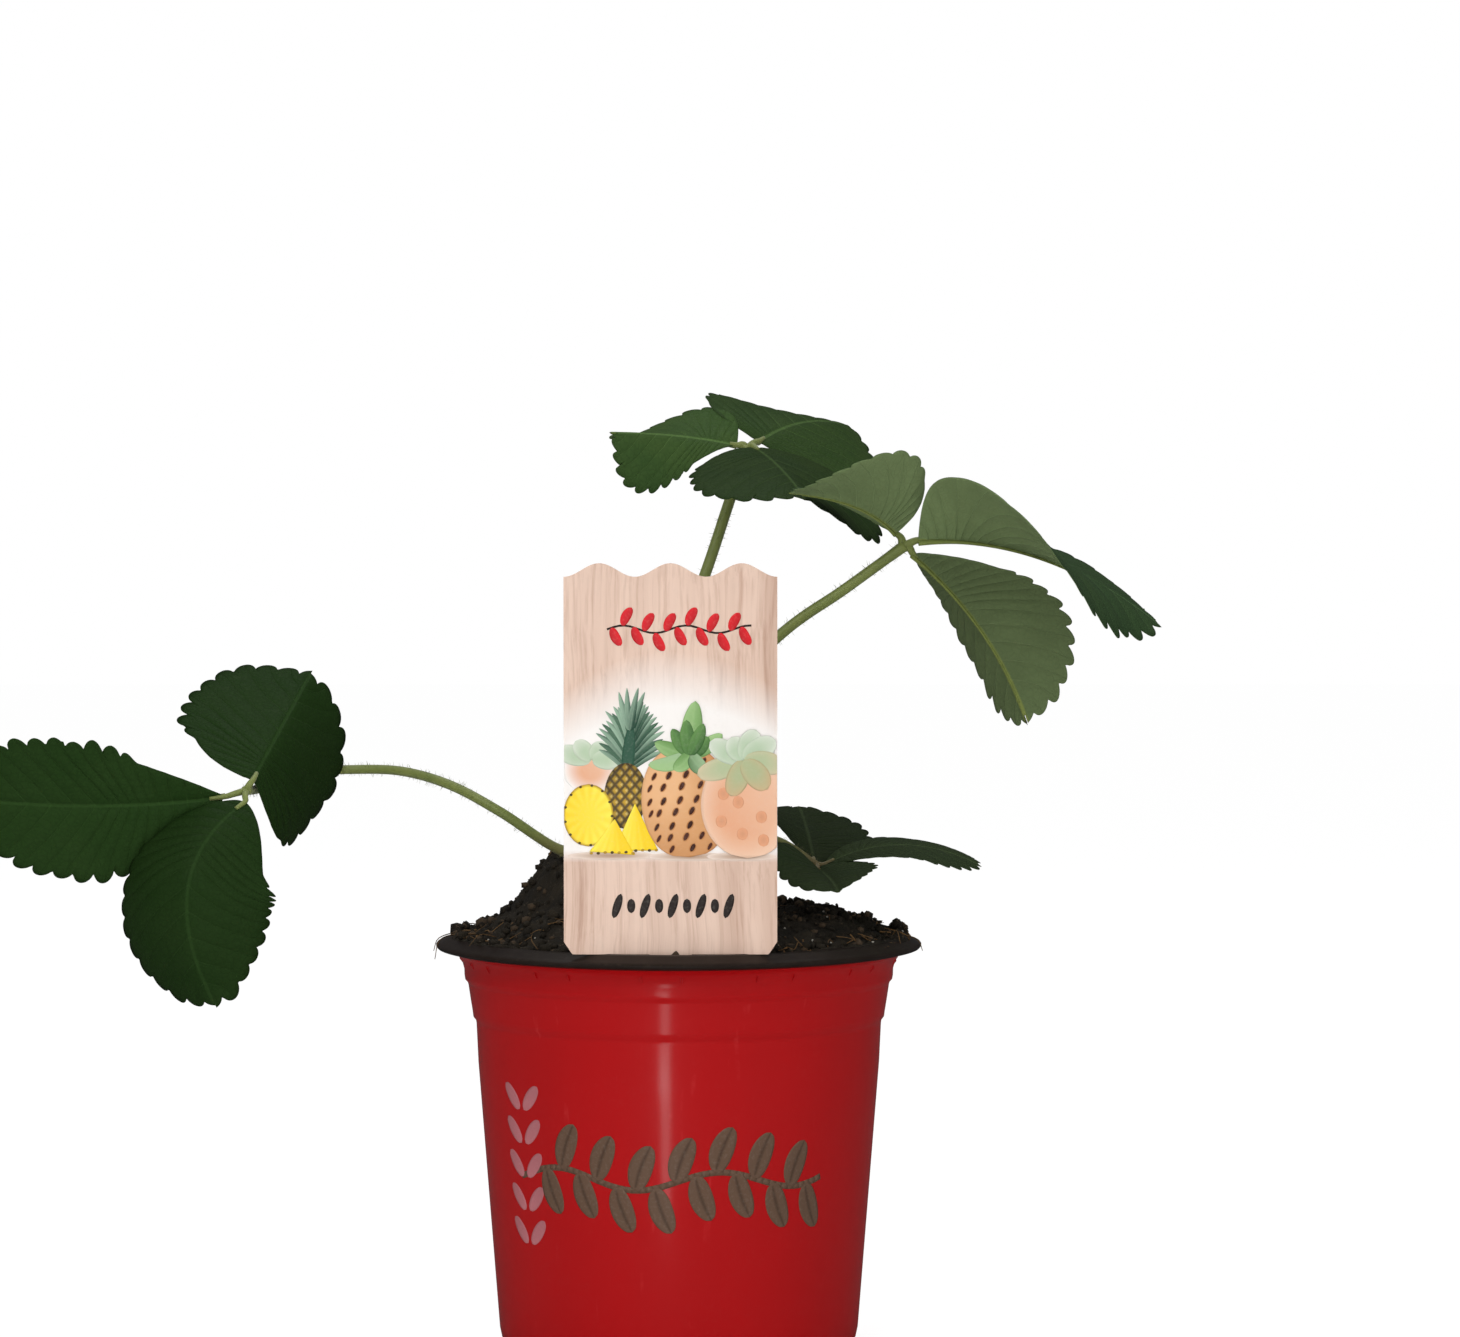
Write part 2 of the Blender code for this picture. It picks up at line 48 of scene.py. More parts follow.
# small tools
def makePiece(name, points, faces, materials, slot, replaced=(), indices=None, attributes=None,
              smooth=True, sharpAngle=None):
    mesh = bpy.data.meshes.new(name)
    mesh.from_pydata(np.asarray(points, float) * mm, [], faces)
    for material in materials:
        mesh.materials.append(material)
    if indices is not None:
        mesh.polygons.foreach_set("material_index", np.asarray(indices, dtype=np.int32))
    for title, values in (attributes or {}).items():
        values = np.asarray(values, dtype=np.float32)
        kind = "FLOAT_VECTOR" if values.ndim == 2 else "FLOAT"
        layer = mesh.attributes.new(title, kind, "POINT")
        layer.data.foreach_set("vector" if values.ndim == 2 else "value", values.ravel())
    mesh.polygons.foreach_set("use_smooth", [smooth] * len(mesh.polygons))
    mesh.update()
    if sharpAngle:
        mesh.set_sharp_from_angle(angle=math.radians(sharpAngle))
    piece = bpy.data.objects.new(name, mesh)
    bpy.context.scene.collection.objects.link(piece)
    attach(piece, "root")
    if replaced:
        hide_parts(*replaced)
    return piece


def unit(vectors):
    vectors = np.asarray(vectors, float)
    return vectors / np.maximum(np.linalg.norm(vectors, axis=-1, keepdims=True), 1e-12)


def joinShells(shells):
    # several (points, faces) become one
    points, faces, start = [], [], 0
    for shellPoints, shellFaces in shells:
        points.append(np.asarray(shellPoints, float))
        faces += [tuple(index + start for index in face) for face in shellFaces]
        start += len(shellPoints)
    return np.vstack(points), faces


def turnedShell(profile, segments, closed=True):
    # a profile of radius and height turned round the upright axis; a closed one joins its ends
    profile = np.asarray(profile, float)
    angles = np.arange(segments) * 2 * math.pi / segments
    points = np.stack([np.outer(profile[:, 0], np.cos(angles)), np.outer(profile[:, 0], np.sin(angles)),
                       np.repeat(profile[:, 1:2], segments, axis=1)], axis=-1).reshape(-1, 3)
    faces = []
    rings = len(profile)
    for ring in range(rings if closed else rings - 1):
        low, high = ring * segments, (ring + 1) % rings * segments
        for step in range(segments):
            following = (step + 1) % segments
            faces.append((low + step, low + following, high + following, high + step))
    return points, faces


def smoothRoute(route, count):
    # Catmull-Rom curve through the route's points, read at equal steps along its length
    route = np.array(route, float)
    ends = np.vstack([2 * route[0] - route[1], route, 2 * route[-1] - route[-2]])
    fine = []
    for index in range(1, len(ends) - 2):
        before, start, finish, after = ends[index - 1:index + 3]
        for share in np.linspace(0, 1, 24, endpoint=False):
            fine.append(0.5 * (2 * start + (finish - before) * share
                               + (2 * before - 5 * start + 4 * finish - after) * share ** 2
                               + (3 * start - before - 3 * finish + after) * share ** 3))
    fine = np.array(fine + [route[-1]])
    travelled = np.concatenate([[0], np.cumsum(np.linalg.norm(np.diff(fine, axis=0), axis=1))])
    wanted = np.linspace(0, travelled[-1], count)
    return np.stack([np.interp(wanted, travelled, fine[:, axis]) for axis in range(3)], axis=1)


def tube(path, radii, sides=8, groove=0.0):
    # a closed tube carried along the path without twisting; groove presses a channel into it
    path = np.asarray(path, float)
    ahead = unit(np.gradient(path, axis=0))
    across = np.cross(ahead[0], (0.3, 0.2, 0.9))
    points = []
    for index, centre in enumerate(path):
        across = unit(across - ahead[index] * np.dot(across, ahead[index]))
        other = np.cross(ahead[index], across)
        for side in range(sides):
            angle = 2 * math.pi * side / sides
            radius = radii[index] * (1 - groove * max(0, math.cos(angle)) ** 6)
            points.append(centre + radius * (across * math.cos(angle) + other * math.sin(angle)))
    faces = [tuple(range(sides))[::-1], tuple(range(len(points) - sides, len(points)))]
    for ring in range(len(path) - 1):
        for side in range(sides):
            following = (side + 1) % sides
            low = ring * sides
            faces.append((low + side, low + following, low + sides + following, low + sides + side))
    return np.array(points), faces


def sheetFaces(rows, columns):
    # the faces of a closed shell made of two grids of points and the walls between their rims
    count = rows * columns
    index = np.arange(count).reshape(rows, columns)
    quads = np.stack([index[:-1, :-1], index[:-1, 1:], index[1:, 1:], index[1:, :-1]], axis=-1)
    quads = quads.reshape(-1, 4)
    rim = np.concatenate([index[0], index[1:, -1], index[-1, -2::-1], index[-2:0:-1, 0]])
    following = np.roll(rim, -1)
    walls = np.stack([rim, following, following + count, rim + count], axis=-1)
    return np.vstack([quads[:, ::-1], quads + count, walls])


# material tools
def addNode(tree, kind, inputs=None, **settings):
    made = tree.nodes.new(kind)
    for key, value in settings.items():
        setattr(made, key, value)
    for key, value in (inputs or {}).items():
        if isinstance(value, bpy.types.NodeSocket):
            tree.links.new(value, made.inputs[key])
        elif isinstance(value, tuple) and len(value) == 3 and made.inputs[key].type == "RGBA":
            made.inputs[key].default_value = (*value, 1)
        else:
            made.inputs[key].default_value = value
    return made


def maths(tree, operation, first, second=0.0, clamp=False):
    return addNode(tree, "ShaderNodeMath", {0: first, 1: second}, operation=operation,
                   use_clamp=clamp).outputs[0]


def spread(tree, value, low, high, outLow=0.0, outHigh=1.0, **settings):
    return addNode(tree, "ShaderNodeMapRange", {"Value": value, "From Min": low, "From Max": high,
                                                "To Min": outLow, "To Max": outHigh}, **settings).outputs[0]


def mixColour(tree, share, first, second):
    made = addNode(tree, "ShaderNodeMix", data_type="RGBA")
    for key, value in ((0, share), (6, first), (7, second)):
        if isinstance(value, bpy.types.NodeSocket):
            tree.links.new(value, made.inputs[key])
        else:
            made.inputs[key].default_value = (*value, 1) if key else value
    return made.outputs[2]


def newGroup(name, inputs, outputs):
    group = bpy.data.node_groups.new(name, "ShaderNodeTree")
    for title, kind, value in inputs:
        socket = group.interface.new_socket(title, in_out="INPUT", socket_type=kind)
        socket.default_value = (*value, 1) if kind == "NodeSocketColor" else value
    for title, kind in outputs:
        group.interface.new_socket(title, in_out="OUTPUT", socket_type=kind)
    return group, group.nodes.new("NodeGroupInput"), group.nodes.new("NodeGroupOutput")


def useGroup(tree, group, values=None):
    made = tree.nodes.new("ShaderNodeGroup")
    made.node_tree = group
    for key, value in (values or {}).items():
        if isinstance(value, bpy.types.NodeSocket):
            tree.links.new(value, made.inputs[key])
        elif isinstance(value, tuple):
            made.inputs[key].default_value = (*value, 1)
        else:
            made.inputs[key].default_value = value
    return made


def newMaterial(name, roughness=0.5, specular=0.5, coat=0.0, coatRoughness=0.2, sheen=0.0):
    material = bpy.data.materials.new(name)
    material.use_nodes = True
    tree = material.node_tree
    shader = tree.nodes["Principled BSDF"]
    shader.inputs["Roughness"].default_value = roughness
    shader.inputs["Specular IOR Level"].default_value = specular
    shader.inputs["Coat Weight"].default_value = coat
    shader.inputs["Coat Roughness"].default_value = coatRoughness
    shader.inputs["Sheen Weight"].default_value = sheen
    return material, tree, shader


def addBump(tree, shader, height, depth, strength=1.0):
    bump = addNode(tree, "ShaderNodeBump", {"Height": height, "Distance": depth * mm, "Strength": strength})
    tree.links.new(bump.outputs[0], shader.inputs["Normal"])


def buildMottle():
    # soft cloudy variation between two colours
    group, given, result = newGroup("mottle", [
        ("Colour", "NodeSocketColor", (0.5, 0.5, 0.5)), ("Other", "NodeSocketColor", (0.4, 0.4, 0.4)),
        ("Scale", "NodeSocketFloat", 100.0), ("Stretch", "NodeSocketFloat", 1.0)],
        [("Colour", "NodeSocketColor"), ("Value", "NodeSocketFloat")])
    place = addNode(group, "ShaderNodeTexCoord").outputs["Object"]
    squeeze = addNode(group, "ShaderNodeCombineXYZ", {0: 1.0, 1: 1.0, 2: given.outputs["Stretch"]})
    place = addNode(group, "ShaderNodeVectorMath", {0: place, 1: squeeze.outputs[0]},
                    operation="MULTIPLY").outputs[0]
    cloud = addNode(group, "ShaderNodeTexNoise", {"Vector": place, "Scale": given.outputs["Scale"],
                                                  "Detail": 5.0, "Roughness": 0.6})
    value = spread(group, cloud.outputs["Fac"], 0.3, 0.7)
    colour = mixColour(group, value, given.outputs["Colour"], given.outputs["Other"])
    group.links.new(colour, result.inputs["Colour"])
    group.links.new(value, result.inputs["Value"])
    return group


def buildDust():
    # fine pale dust, thicker where the surface faces up
    group, given, result = newGroup("dust", [
        ("Colour", "NodeSocketColor", (0.5, 0.5, 0.5)), ("Dust", "NodeSocketColor", (0.3, 0.28, 0.25)),
        ("Amount", "NodeSocketFloat", 0.2)],
        [("Colour", "NodeSocketColor"), ("Mask", "NodeSocketFloat")])
    place = addNode(group, "ShaderNodeTexCoord").outputs["Object"]
    specks = addNode(group, "ShaderNodeTexNoise", {"Vector": place, "Scale": 900.0, "Detail": 4.0})
    patches = addNode(group, "ShaderNodeTexNoise", {"Vector": place, "Scale": 60.0, "Detail": 3.0})
    facing = addNode(group, "ShaderNodeSeparateXYZ",
                     {0: addNode(group, "ShaderNodeNewGeometry").outputs["Normal"]}).outputs[2]
    up = spread(group, facing, -0.2, 1.0, 0.35, 1.0)
    speck = spread(group, specks.outputs["Fac"], 0.52, 0.72)
    patch = spread(group, patches.outputs["Fac"], 0.4, 0.7)
    mask = maths(group, "MULTIPLY", maths(group, "MULTIPLY", speck, patch), up)
    mask = maths(group, "MULTIPLY", mask, given.outputs["Amount"], clamp=True)
    group.links.new(mixColour(group, mask, given.outputs["Colour"], given.outputs["Dust"]),
                    result.inputs["Colour"])
    group.links.new(mask, result.inputs["Mask"])
    return group


def buildScuffs():
    # thin scratches that run mostly up and down
    group, given, result = newGroup("scuffs", [("Scale", "NodeSocketFloat", 300.0),
                                               ("Amount", "NodeSocketFloat", 0.5)],
                                    [("Mask", "NodeSocketFloat")])
    place = addNode(group, "ShaderNodeTexCoord").outputs["Object"]
    bent = addNode(group, "ShaderNodeTexNoise", {"Vector": place, "Scale": 12.0}).outputs["Color"]
    bent = addNode(group, "ShaderNodeVectorMath", {0: bent, "Scale": 0.004}, operation="SCALE").outputs[0]
    place = addNode(group, "ShaderNodeVectorMath", {0: place, 1: (1.0, 1.0, 0.05), 2: bent},
                    operation="MULTIPLY_ADD")
    lines = addNode(group, "ShaderNodeTexNoise", {"Vector": place.outputs[0],
                                                  "Scale": given.outputs["Scale"], "Detail": 2.0})
    thin = spread(group, lines.outputs["Fac"], 0.66, 0.74)
    patches = addNode(group, "ShaderNodeTexNoise", {"Scale": 35.0})
    mask = maths(group, "MULTIPLY", thin, spread(group, patches.outputs["Fac"], 0.45, 0.65))
    group.links.new(maths(group, "MULTIPLY", mask, given.outputs["Amount"]), result.inputs["Mask"])
    return group


mottle, dust, scuffs = buildMottle(), buildDust(), buildScuffs()
print("groups built")


def cloudyMaterial(name, roughness, specular, first, second, scale, bump=0.0):
    # a plain surface clouded between two colours
    material, tree, shader = newMaterial(name, roughness, specular)
    cloud = useGroup(tree, mottle, {"Colour": first, "Other": second, "Scale": scale})
    tree.links.new(cloud.outputs["Colour"], shader.inputs["Base Color"])
    if bump:
        addBump(tree, shader, cloud.outputs["Value"], bump)
    return material


# pot
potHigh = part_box("pot")[1]
potSize = {
    "rim": potHigh.x / mm, "foot": 44.4, "wall": 0.9, "floor": 2.7, "segments": 216, "crest": 55.2,
    "slots": 4, "slotWidth": 7.0, "slotTurn": 48.0, "holeRadius": 4.0, "holeRing": 25.0,
    "lugs": 12, "lugTurns": (-99.0, -88.7), "lugWidth": 0.8, "lugDepth": 0.35,
}
potColour = {"red": (0.350, 0.0034, 0.0046), "redOther": (0.332, 0.0029, 0.0040),
             "black": (0.0125, 0.0080, 0.0062), "blackOther": (0.017, 0.0115, 0.0092),
             "dust": (0.34, 0.22, 0.19)}


def potWall():
    foot = potSize["foot"]
    rise = [(foot - 2.9, 0.0), (foot - 1.6, 0.5), (foot - 0.5, 1.9), (foot, 4.2)]
    side = [(foot + (49.6 - foot) * share, 4.2 + (70 - 4.2) * share) for share in np.linspace(0, 1, 12)[1:]]
    upper = [(50.05, 79.6), (50.2, 80.6), (50.85, 81.4), (51.0, 82.6), (51.55, 86), (52.05, 89.4),
             (52.3, 90.1), (52.85, 90.7), (53.0, 91.6), (53.05, 93.2), (53.5, 94.9), (54.3, 96.3),
             (55.4, 97.2), (57.6, 97.9)]
    return rise + side + upper


def buildPotShape():
    rim, crest, foot = potSize["rim"], potSize["crest"], potSize["foot"]
    base = [(0.4, 0.0), (11.6, 0.0), (12.2, 0.3), (12.6, 1.5), (14, 1.6), (35.4, 1.6), (36.2, 1.3),
            (36.8, 0.1)]
    lip = [(rim - 0.4, 98.4), (rim - 0.05, 98.8), (rim, 99.2), (rim - 0.3, 99.6), (rim - 1.4, 99.9),
           (crest + 1.2, 101.2), (crest, 101.5), (crest - 0.6, 101.35), (54.15, 100.8)]
    inside = [(radius - potSize["wall"], height) for radius, height in potWall()[:3:-1] if height < 97]
    inside = [point for point in inside if point[1] > 5]
    inside += [(foot - 1.2, 5.2), (foot - 1.9, 3.3), (foot - 3, 2.75), (30, potSize["floor"]),
               (0.4, potSize["floor"])]
    profile = base + potWall() + lip + inside
    points, faces = turnedShell(profile, potSize["segments"])
    # outside faces up to the lip's edge are red, the lip and the inside are black
    redRings = set(range(len(base) - 1, len(base) + len(potWall()) - 1)) | set(range(len(base)))
    indices = [0 if face // potSize["segments"] in redRings else 1 for face in range(len(faces))]
    return points, faces, indices


def turned(x, y, turn):
    # a flat point turned round the pot's axis
    return x * math.cos(turn) - y * math.sin(turn), x * math.sin(turn) + y * math.cos(turn)


def wedge(width, depth, low, high, radiusLow, radiusHigh, turn):
    # a small upright rib on the wall, thin at its lower end
    half = width / 2
    rows = [(low, radiusLow, 0.15, 0.5), (low + 1, radiusLow, 0.8, 0.8), (high - 0.8, radiusHigh, 1, 1),
            (high, radiusHigh, 0.7, 1)]
    points = []
    for height, radius, out, wide in rows:
        for side, push in ((-1.0, -0.6), (-0.55, out * depth), (0.55, out * depth), (1.0, -0.6)):
            points.append((*turned(radius + push, side * half * wide, turn), height))
    faces = [(3, 2, 1, 0), (12, 13, 14, 15)]
    for row in range(3):
        for column in range(4):
            low, following = row * 4, (column + 1) % 4
            faces.append((low + column, low + following, low + 4 + following, low + 4 + column))
    return points, faces


def redPlastic():
    material, tree, shader = newMaterial("redPlastic", 0.42, 0.06, coat=0.34, coatRoughness=0.14)
    cloud = useGroup(tree, mottle, {"Colour": potColour["red"], "Other": potColour["redOther"],
                                    "Scale": 45.0, "Stretch": 0.25})
    dusted = useGroup(tree, dust, {"Colour": cloud.outputs["Colour"], "Dust": potColour["dust"],
                                   "Amount": 0.035})
    marks = useGroup(tree, scuffs, {"Scale": 420.0, "Amount": 0.35})
    colour = mixColour(tree, marks.outputs["Mask"], dusted.outputs["Colour"], (0.46, 0.03, 0.032))
    tree.links.new(colour, shader.inputs["Base Color"])
    tree.links.new(spread(tree, cloud.outputs["Value"], 0, 1, 0.34, 0.46), shader.inputs["Roughness"])
    place = addNode(tree, "ShaderNodeTexCoord").outputs["Object"]
    ripple = addNode(tree, "ShaderNodeTexNoise", {"Vector": place, "Scale": 55.0, "Detail": 3.0})
    addBump(tree, shader, ripple.outputs["Fac"], 0.15, 0.5)
    return material


def blackPlastic():
    material, tree, shader = newMaterial("blackPlastic", 0.45, 0.12)
    cloud = useGroup(tree, mottle, {"Colour": potColour["black"], "Other": potColour["blackOther"],
                                    "Scale": 140.0})
    dusted = useGroup(tree, dust, {"Colour": cloud.outputs["Colour"], "Dust": (0.06, 0.045, 0.032),
                                   "Amount": 0.4})
    tree.links.new(dusted.outputs["Colour"], shader.inputs["Base Color"])
    tree.links.new(spread(tree, dusted.outputs["Mask"], 0, 0.6, 0.4, 0.75), shader.inputs["Roughness"])
    marks = useGroup(tree, scuffs, {"Scale": 500.0, "Amount": 1.0})
    addBump(tree, shader, marks.outputs["Mask"], 0.05)
    return material


def makeCutter(name, points, faces):
    mesh = bpy.data.meshes.new(name)
    mesh.from_pydata(np.asarray(points, float) * mm, [], faces)
    cutter = bpy.data.objects.new(name, mesh)
    bpy.context.scene.collection.objects.link(cutter)
    return cutter


def cutAndDrop(piece, cutters):
    # cuts every hollow at once, keeps the result as the piece's mesh and drops the cutters
    for cutter in cutters:
        modifier = piece.modifiers.new(cutter.name, "BOOLEAN")
        modifier.object, modifier.operation, modifier.solver = cutter, "DIFFERENCE", "EXACT"
    evaluated = piece.evaluated_get(bpy.context.evaluated_depsgraph_get())
    mesh = bpy.data.meshes.new_from_object(evaluated)
    piece.modifiers.clear()
    piece.data = mesh
    for cutter in cutters:
        bpy.data.objects.remove(cutter)


def buildPot():
    red, black = redPlastic(), blackPlastic()
    points, faces, indices = buildPotShape()
    pot = makePiece("pot_shell", points, faces, [red, black], "pot", ["pot"], indices)
    cutters = []
    for index in range(potSize["slots"]):
        turn = math.radians(potSize["slotTurn"] + 90 * index)
        half, corners = potSize["slotWidth"] / 2, []
        for height in (-1.0, 4.2):
            for x, y in ((40, -half), (46, -half), (46, half), (40, half)):
                corners.append((*turned(x, y, turn), height))
        block = [(3, 2, 1, 0), (4, 5, 6, 7), (0, 1, 5, 4), (1, 2, 6, 5), (2, 3, 7, 6), (3, 0, 4, 7)]
        cutters.append(makeCutter(f"slotCutter{index}", corners, block))
        turn += math.radians(45)
        centre = np.array((math.cos(turn), math.sin(turn), 0)) * potSize["holeRing"]
        radius = potSize["holeRadius"]
        drill = [centre + (radius * math.cos(angle), radius * math.sin(angle), height)
                 for height in (-1, 5) for angle in np.arange(32) * math.pi / 16]
        sides = [(i, (i + 1) % 32, (i + 1) % 32 + 32, i + 32) for i in range(32)]
        sides += [tuple(range(31, -1, -1)), tuple(range(32, 64))]
        cutters.append(makeCutter(f"holeCutter{index}", drill, sides))
    cutAndDrop(pot, cutters)
    pot.data.set_sharp_from_angle(angle=math.radians(40))
    lugs = [wedge(potSize["lugWidth"], potSize["lugDepth"], 93.2, 96.3, 53.0, 53.9,
                  math.radians(turn + 360 * index / potSize["lugs"]))
            for index in range(potSize["lugs"]) for turn in potSize["lugTurns"]]
    makePiece("pot_stacking_ribs", *joinShells(lugs), [red], "pot", sharpAngle=50)


buildPot()
print("pot built")

# leaves: each leaflet has a curved rib, two halves (fullness at base and tip, width) and their folds
leafSize = {"thickness": 0.42, "toothStart": 0.3, "rows": 210, "columns": 22,
            "quilt": 0.34, "ribPress": 0.3, "veinRelief": 0.1, "slant": (-0.1, 0.1, 0.85, 0.9)}
# how a leaf's teeth look: size as a share of the length, lean towards the tip, and roundness
toothLook = {"leaf_left": (0.042, 0.22, 0.5), "leaf_left_upper": (0.042 * 1.45, 0.22, 0.5),
             "leaf_top": (0.042, 0.5, 0.62), "leaf_right": (0.040, 0.45, 0.6),
             "leaf_low": (0.045, 0.5, 0.62)}
leaves = {
    "leaf_left": {
        "petiole": {"azimuth": 192, "rise": 30, "radii": (2.0, 1.25, 1.05), "route": [
            (-29, -8, 122.8), (-43.5, -14, 132.6), (-56.1, -8, 138.8), (-69, 3, 141.6),
            (-82, 7.5, 141.7), (-88, 3.5, 141.4), (-95.5, -9.5, 140), (-101.3, -26.5, 139),
            (-103.2, -39.2, 139.4)]},
        "end": {"rib": [(-108, -40, 138), (-138, -42.5, 136), (-171, -46, 138)],
                "face": [(0.15, -1, 0.1), (-0.2, -1, -0.2)], "left": (0.97, 0.75, 0.27),
                "right": (0.95, 0.42, 0.265), "foldLeft": (-3, -15, -3), "foldRight": (25, 19, 4),
                "teeth": 11},
        "lower": {"rib": [(-103, -42.5, 137), (-115, -57, 118), (-110, -52, 90.5)],
                  "face": [(0, -0.87, 0.5), (-0.05, -1, 0.05)], "left": (0.6, 0.5, 0.335),
                  "right": (0.8, 0.5, 0.375), "foldLeft": (-2, -6, -14),
                  "foldRight": (-14, -30, -16), "teeth": 10},
        "upper": {"rib": [(-101.5, -37.5, 142), (-97.5, -21.5, 151.5), (-91.5, 0.5, 165)],
                  "face": [(0.1, -0.55, 0.85), (0.15, -0.25, 0.95)], "left": (0.55, 0.37, 0.51),
                  "right": (0.36, 0.4, 0.6), "foldLeft": (3, 4, -6),
                  "foldRight": (-60, -38, -24), "teeth": 9},
    },
    "leaf_top": {
        "petiole": {"azimuth": 95, "rise": 72, "radii": (2.1, 1.5, 1.35), "route": [
            (-10, 6.5, 140), (-4, 11, 162), (6.4, 18, 190), (12.2, 22, 207.4),
            (17.2, 25, 222)]},
        "end": {"rib": [(20, 27, 223.5), (31, 44.5, 228.5), (42.5, 61.5, 228.3)],
                "face": [(-0.05, -0.2, 1), (0, 0.1, 1)], "left": (0.30, 0.5, 0.52),
                "right": (0.27, 0.5, 0.60), "foldLeft": (29, 8, -2),
                "foldRight": (-30, -38, -6), "teeth": 9},
        "left": {"rib": [(14.5, 25, 222.5), (-1, 21.5, 225), (-16, 15, 225.8)],
                 "face": [(-0.05, 0.05, 1), (-0.1, -0.1, 1)], "left": (1.2, 0.35, 0.44),
                 "right": (0.30, 0.65, 0.44), "foldLeft": (-35, -72, -12),
                 "foldRight": (56, -32, 0), "teeth": 9},
        "front": {"rib": [(19, 22.8, 221.8), (24.8, 2.5, 217), (30.5, -17.5, 209.8)],
                  "face": [(-0.05, 0.05, 1), (-0.1, -0.25, 0.95)], "left": (0.55, 0.35, 0.66),
                  "right": (0.67, 0.4, 0.51), "foldLeft": (-5, -38, -10),
                  "foldRight": (0, 9, -9), "teeth": 9},
    },
    "leaf_right": {
        "petiole": {"azimuth": -55, "rise": 62, "radii": (2.1, 1.5, 1.35), "route": [
            (-5, -8, 140), (7, -10, 158), (25.5, -12, 176.4), (40.5, -13.5, 187),
            (55.3, -15, 197.8)]},
        "end": {"rib": [(58.5, -15, 199), (88, -8, 195.3), (117.5, 2.5, 179.2)],
                "face": [(0.35, 0.7, 0.65), (0.3, -0.1, 0.95)], "left": (0.95, 0.45, 0.36),
                "right": (0.28, 0.75, 0.53), "foldLeft": (40, 6, 1),
                "foldRight": (8, -28, -18), "teeth": 10},
        "left": {"rib": [(53, -14, 200.8), (42.8, -23, 207.5), (28, -30, 210.7)],
                 "face": [(-0.1, 0.8, 0.6), (-0.2, 0, 1)], "left": (0.62, 0.55, 0.62),
                 "right": (0.5, 0.77, 0.43), "foldLeft": (0, 4, 9),
                 "foldRight": (49, 8, 19), "teeth": 9},
        "lower": {"rib": [(57.2, -14.5, 195.8), (74.5, -2, 177), (85.5, -3, 155.5)],
                  "face": [(0.37, 0.83, 0.4), (0.26, 0.92, -0.3)], "left": (0.9, 0.53, 0.22),
                  "right": (0.9, 0.65, 0.38), "foldLeft": (36, 40, 15),
                  "foldRight": (3, 3, -15), "teeth": 10},
    },
    "leaf_low": {
        "petiole": {"azimuth": 5, "rise": 35, "radii": (1.7, 0.95, 0.75), "route": [
            (4, 2.2, 126.5), (14, 3.4, 127.3), (25.5, 4.5, 124), (34.3, 5, 118.2)]},
        "end": {"rib": [(36.5, 5.3, 118.4), (55, 10, 122.8), (74, 11.5, 118.2)],
                "face": [(0, -0.1, 1), (0.1, 0, 1)], "left": (0.8, 0.5, 0.34),
                "right": (0.75, 0.65, 0.43), "foldLeft": (3, 3, -3),
                "foldRight": (5, -16, 2), "teeth": 8},
        "upper": {"rib": [(33.6, 7.4, 118.6), (32.2, 24.5, 125.2), (30.5, 42.5, 130.1)],
                  "face": [(0.44, -0.3, 0.85), (0.05, 0.15, 1)], "left": (0.77, 0.43, 0.43),
                  "right": (0.8, 0.55, 0.42), "foldLeft": (6, -12, 24),
                  "foldRight": (12, -3, -2), "teeth": 8},
        "front": {"rib": [(34.2, 2.8, 117.6), (37.3, -11.5, 115.8), (38.7, -26.4, 114.4)],
                  "face": [(-0.1, -0.65, 0.75), (0, -0.1, 1)], "left": (0.46, 0.6, 0.36),
                  "right": (0.33, 0.42, 0.5), "foldLeft": (-2, 24, 0),
                  "foldRight": (60, -2, 0), "teeth": 8},
    },
}
# leaf_left's colours are darker than the other leaves' as painted shade: it stands upright, turned away from
# the light from above
leafColour = {
    "leaf_left": {"upper": (0.0150, 0.0400, 0.0080), "other": (0.0190, 0.0450, 0.0100),
                  "under": (0.085, 0.125, 0.055), "veins": 0.22},
    "leaf_top": {"upper": (0.0260, 0.0560, 0.0150), "other": (0.0380, 0.0700, 0.0190),
                 "under": (0.085, 0.125, 0.055), "veins": 0.5},
    "leaf_right": {"upper": (0.0260, 0.0530, 0.0210), "other": (0.0310, 0.0580, 0.0220),
                   "under": (0.135, 0.185, 0.080), "veins": 0.5},
    "leaf_low": {"upper": (0.0250, 0.0410, 0.0170), "other": (0.0310, 0.0460, 0.0180),
                 "under": (0.085, 0.120, 0.055), "veins": 0.4},
}
# painted shading: each leaflet's colour made lighter or darker for how the light falls on it
leafPaintedShading = {"leaf_left_end": 0.95, "leaf_left_lower": 0.70, "leaf_left_upper": 0.76,
            "leaf_top_end": 0.9, "leaf_top_left": 1.2, "leaf_top_front": 0.65,
            "leaf_right_end": 1.18, "leaf_right_left": 1.1, "leaf_right_lower": 0.72,
            "leaf_low_end": 1.05, "leaf_low_upper": 0.66, "leaf_low_front": 1.05}
stalkColour = {"green": (0.125, 0.160, 0.034), "pale": (0.175, 0.205, 0.050), "red": (0.16, 0.09, 0.05)}


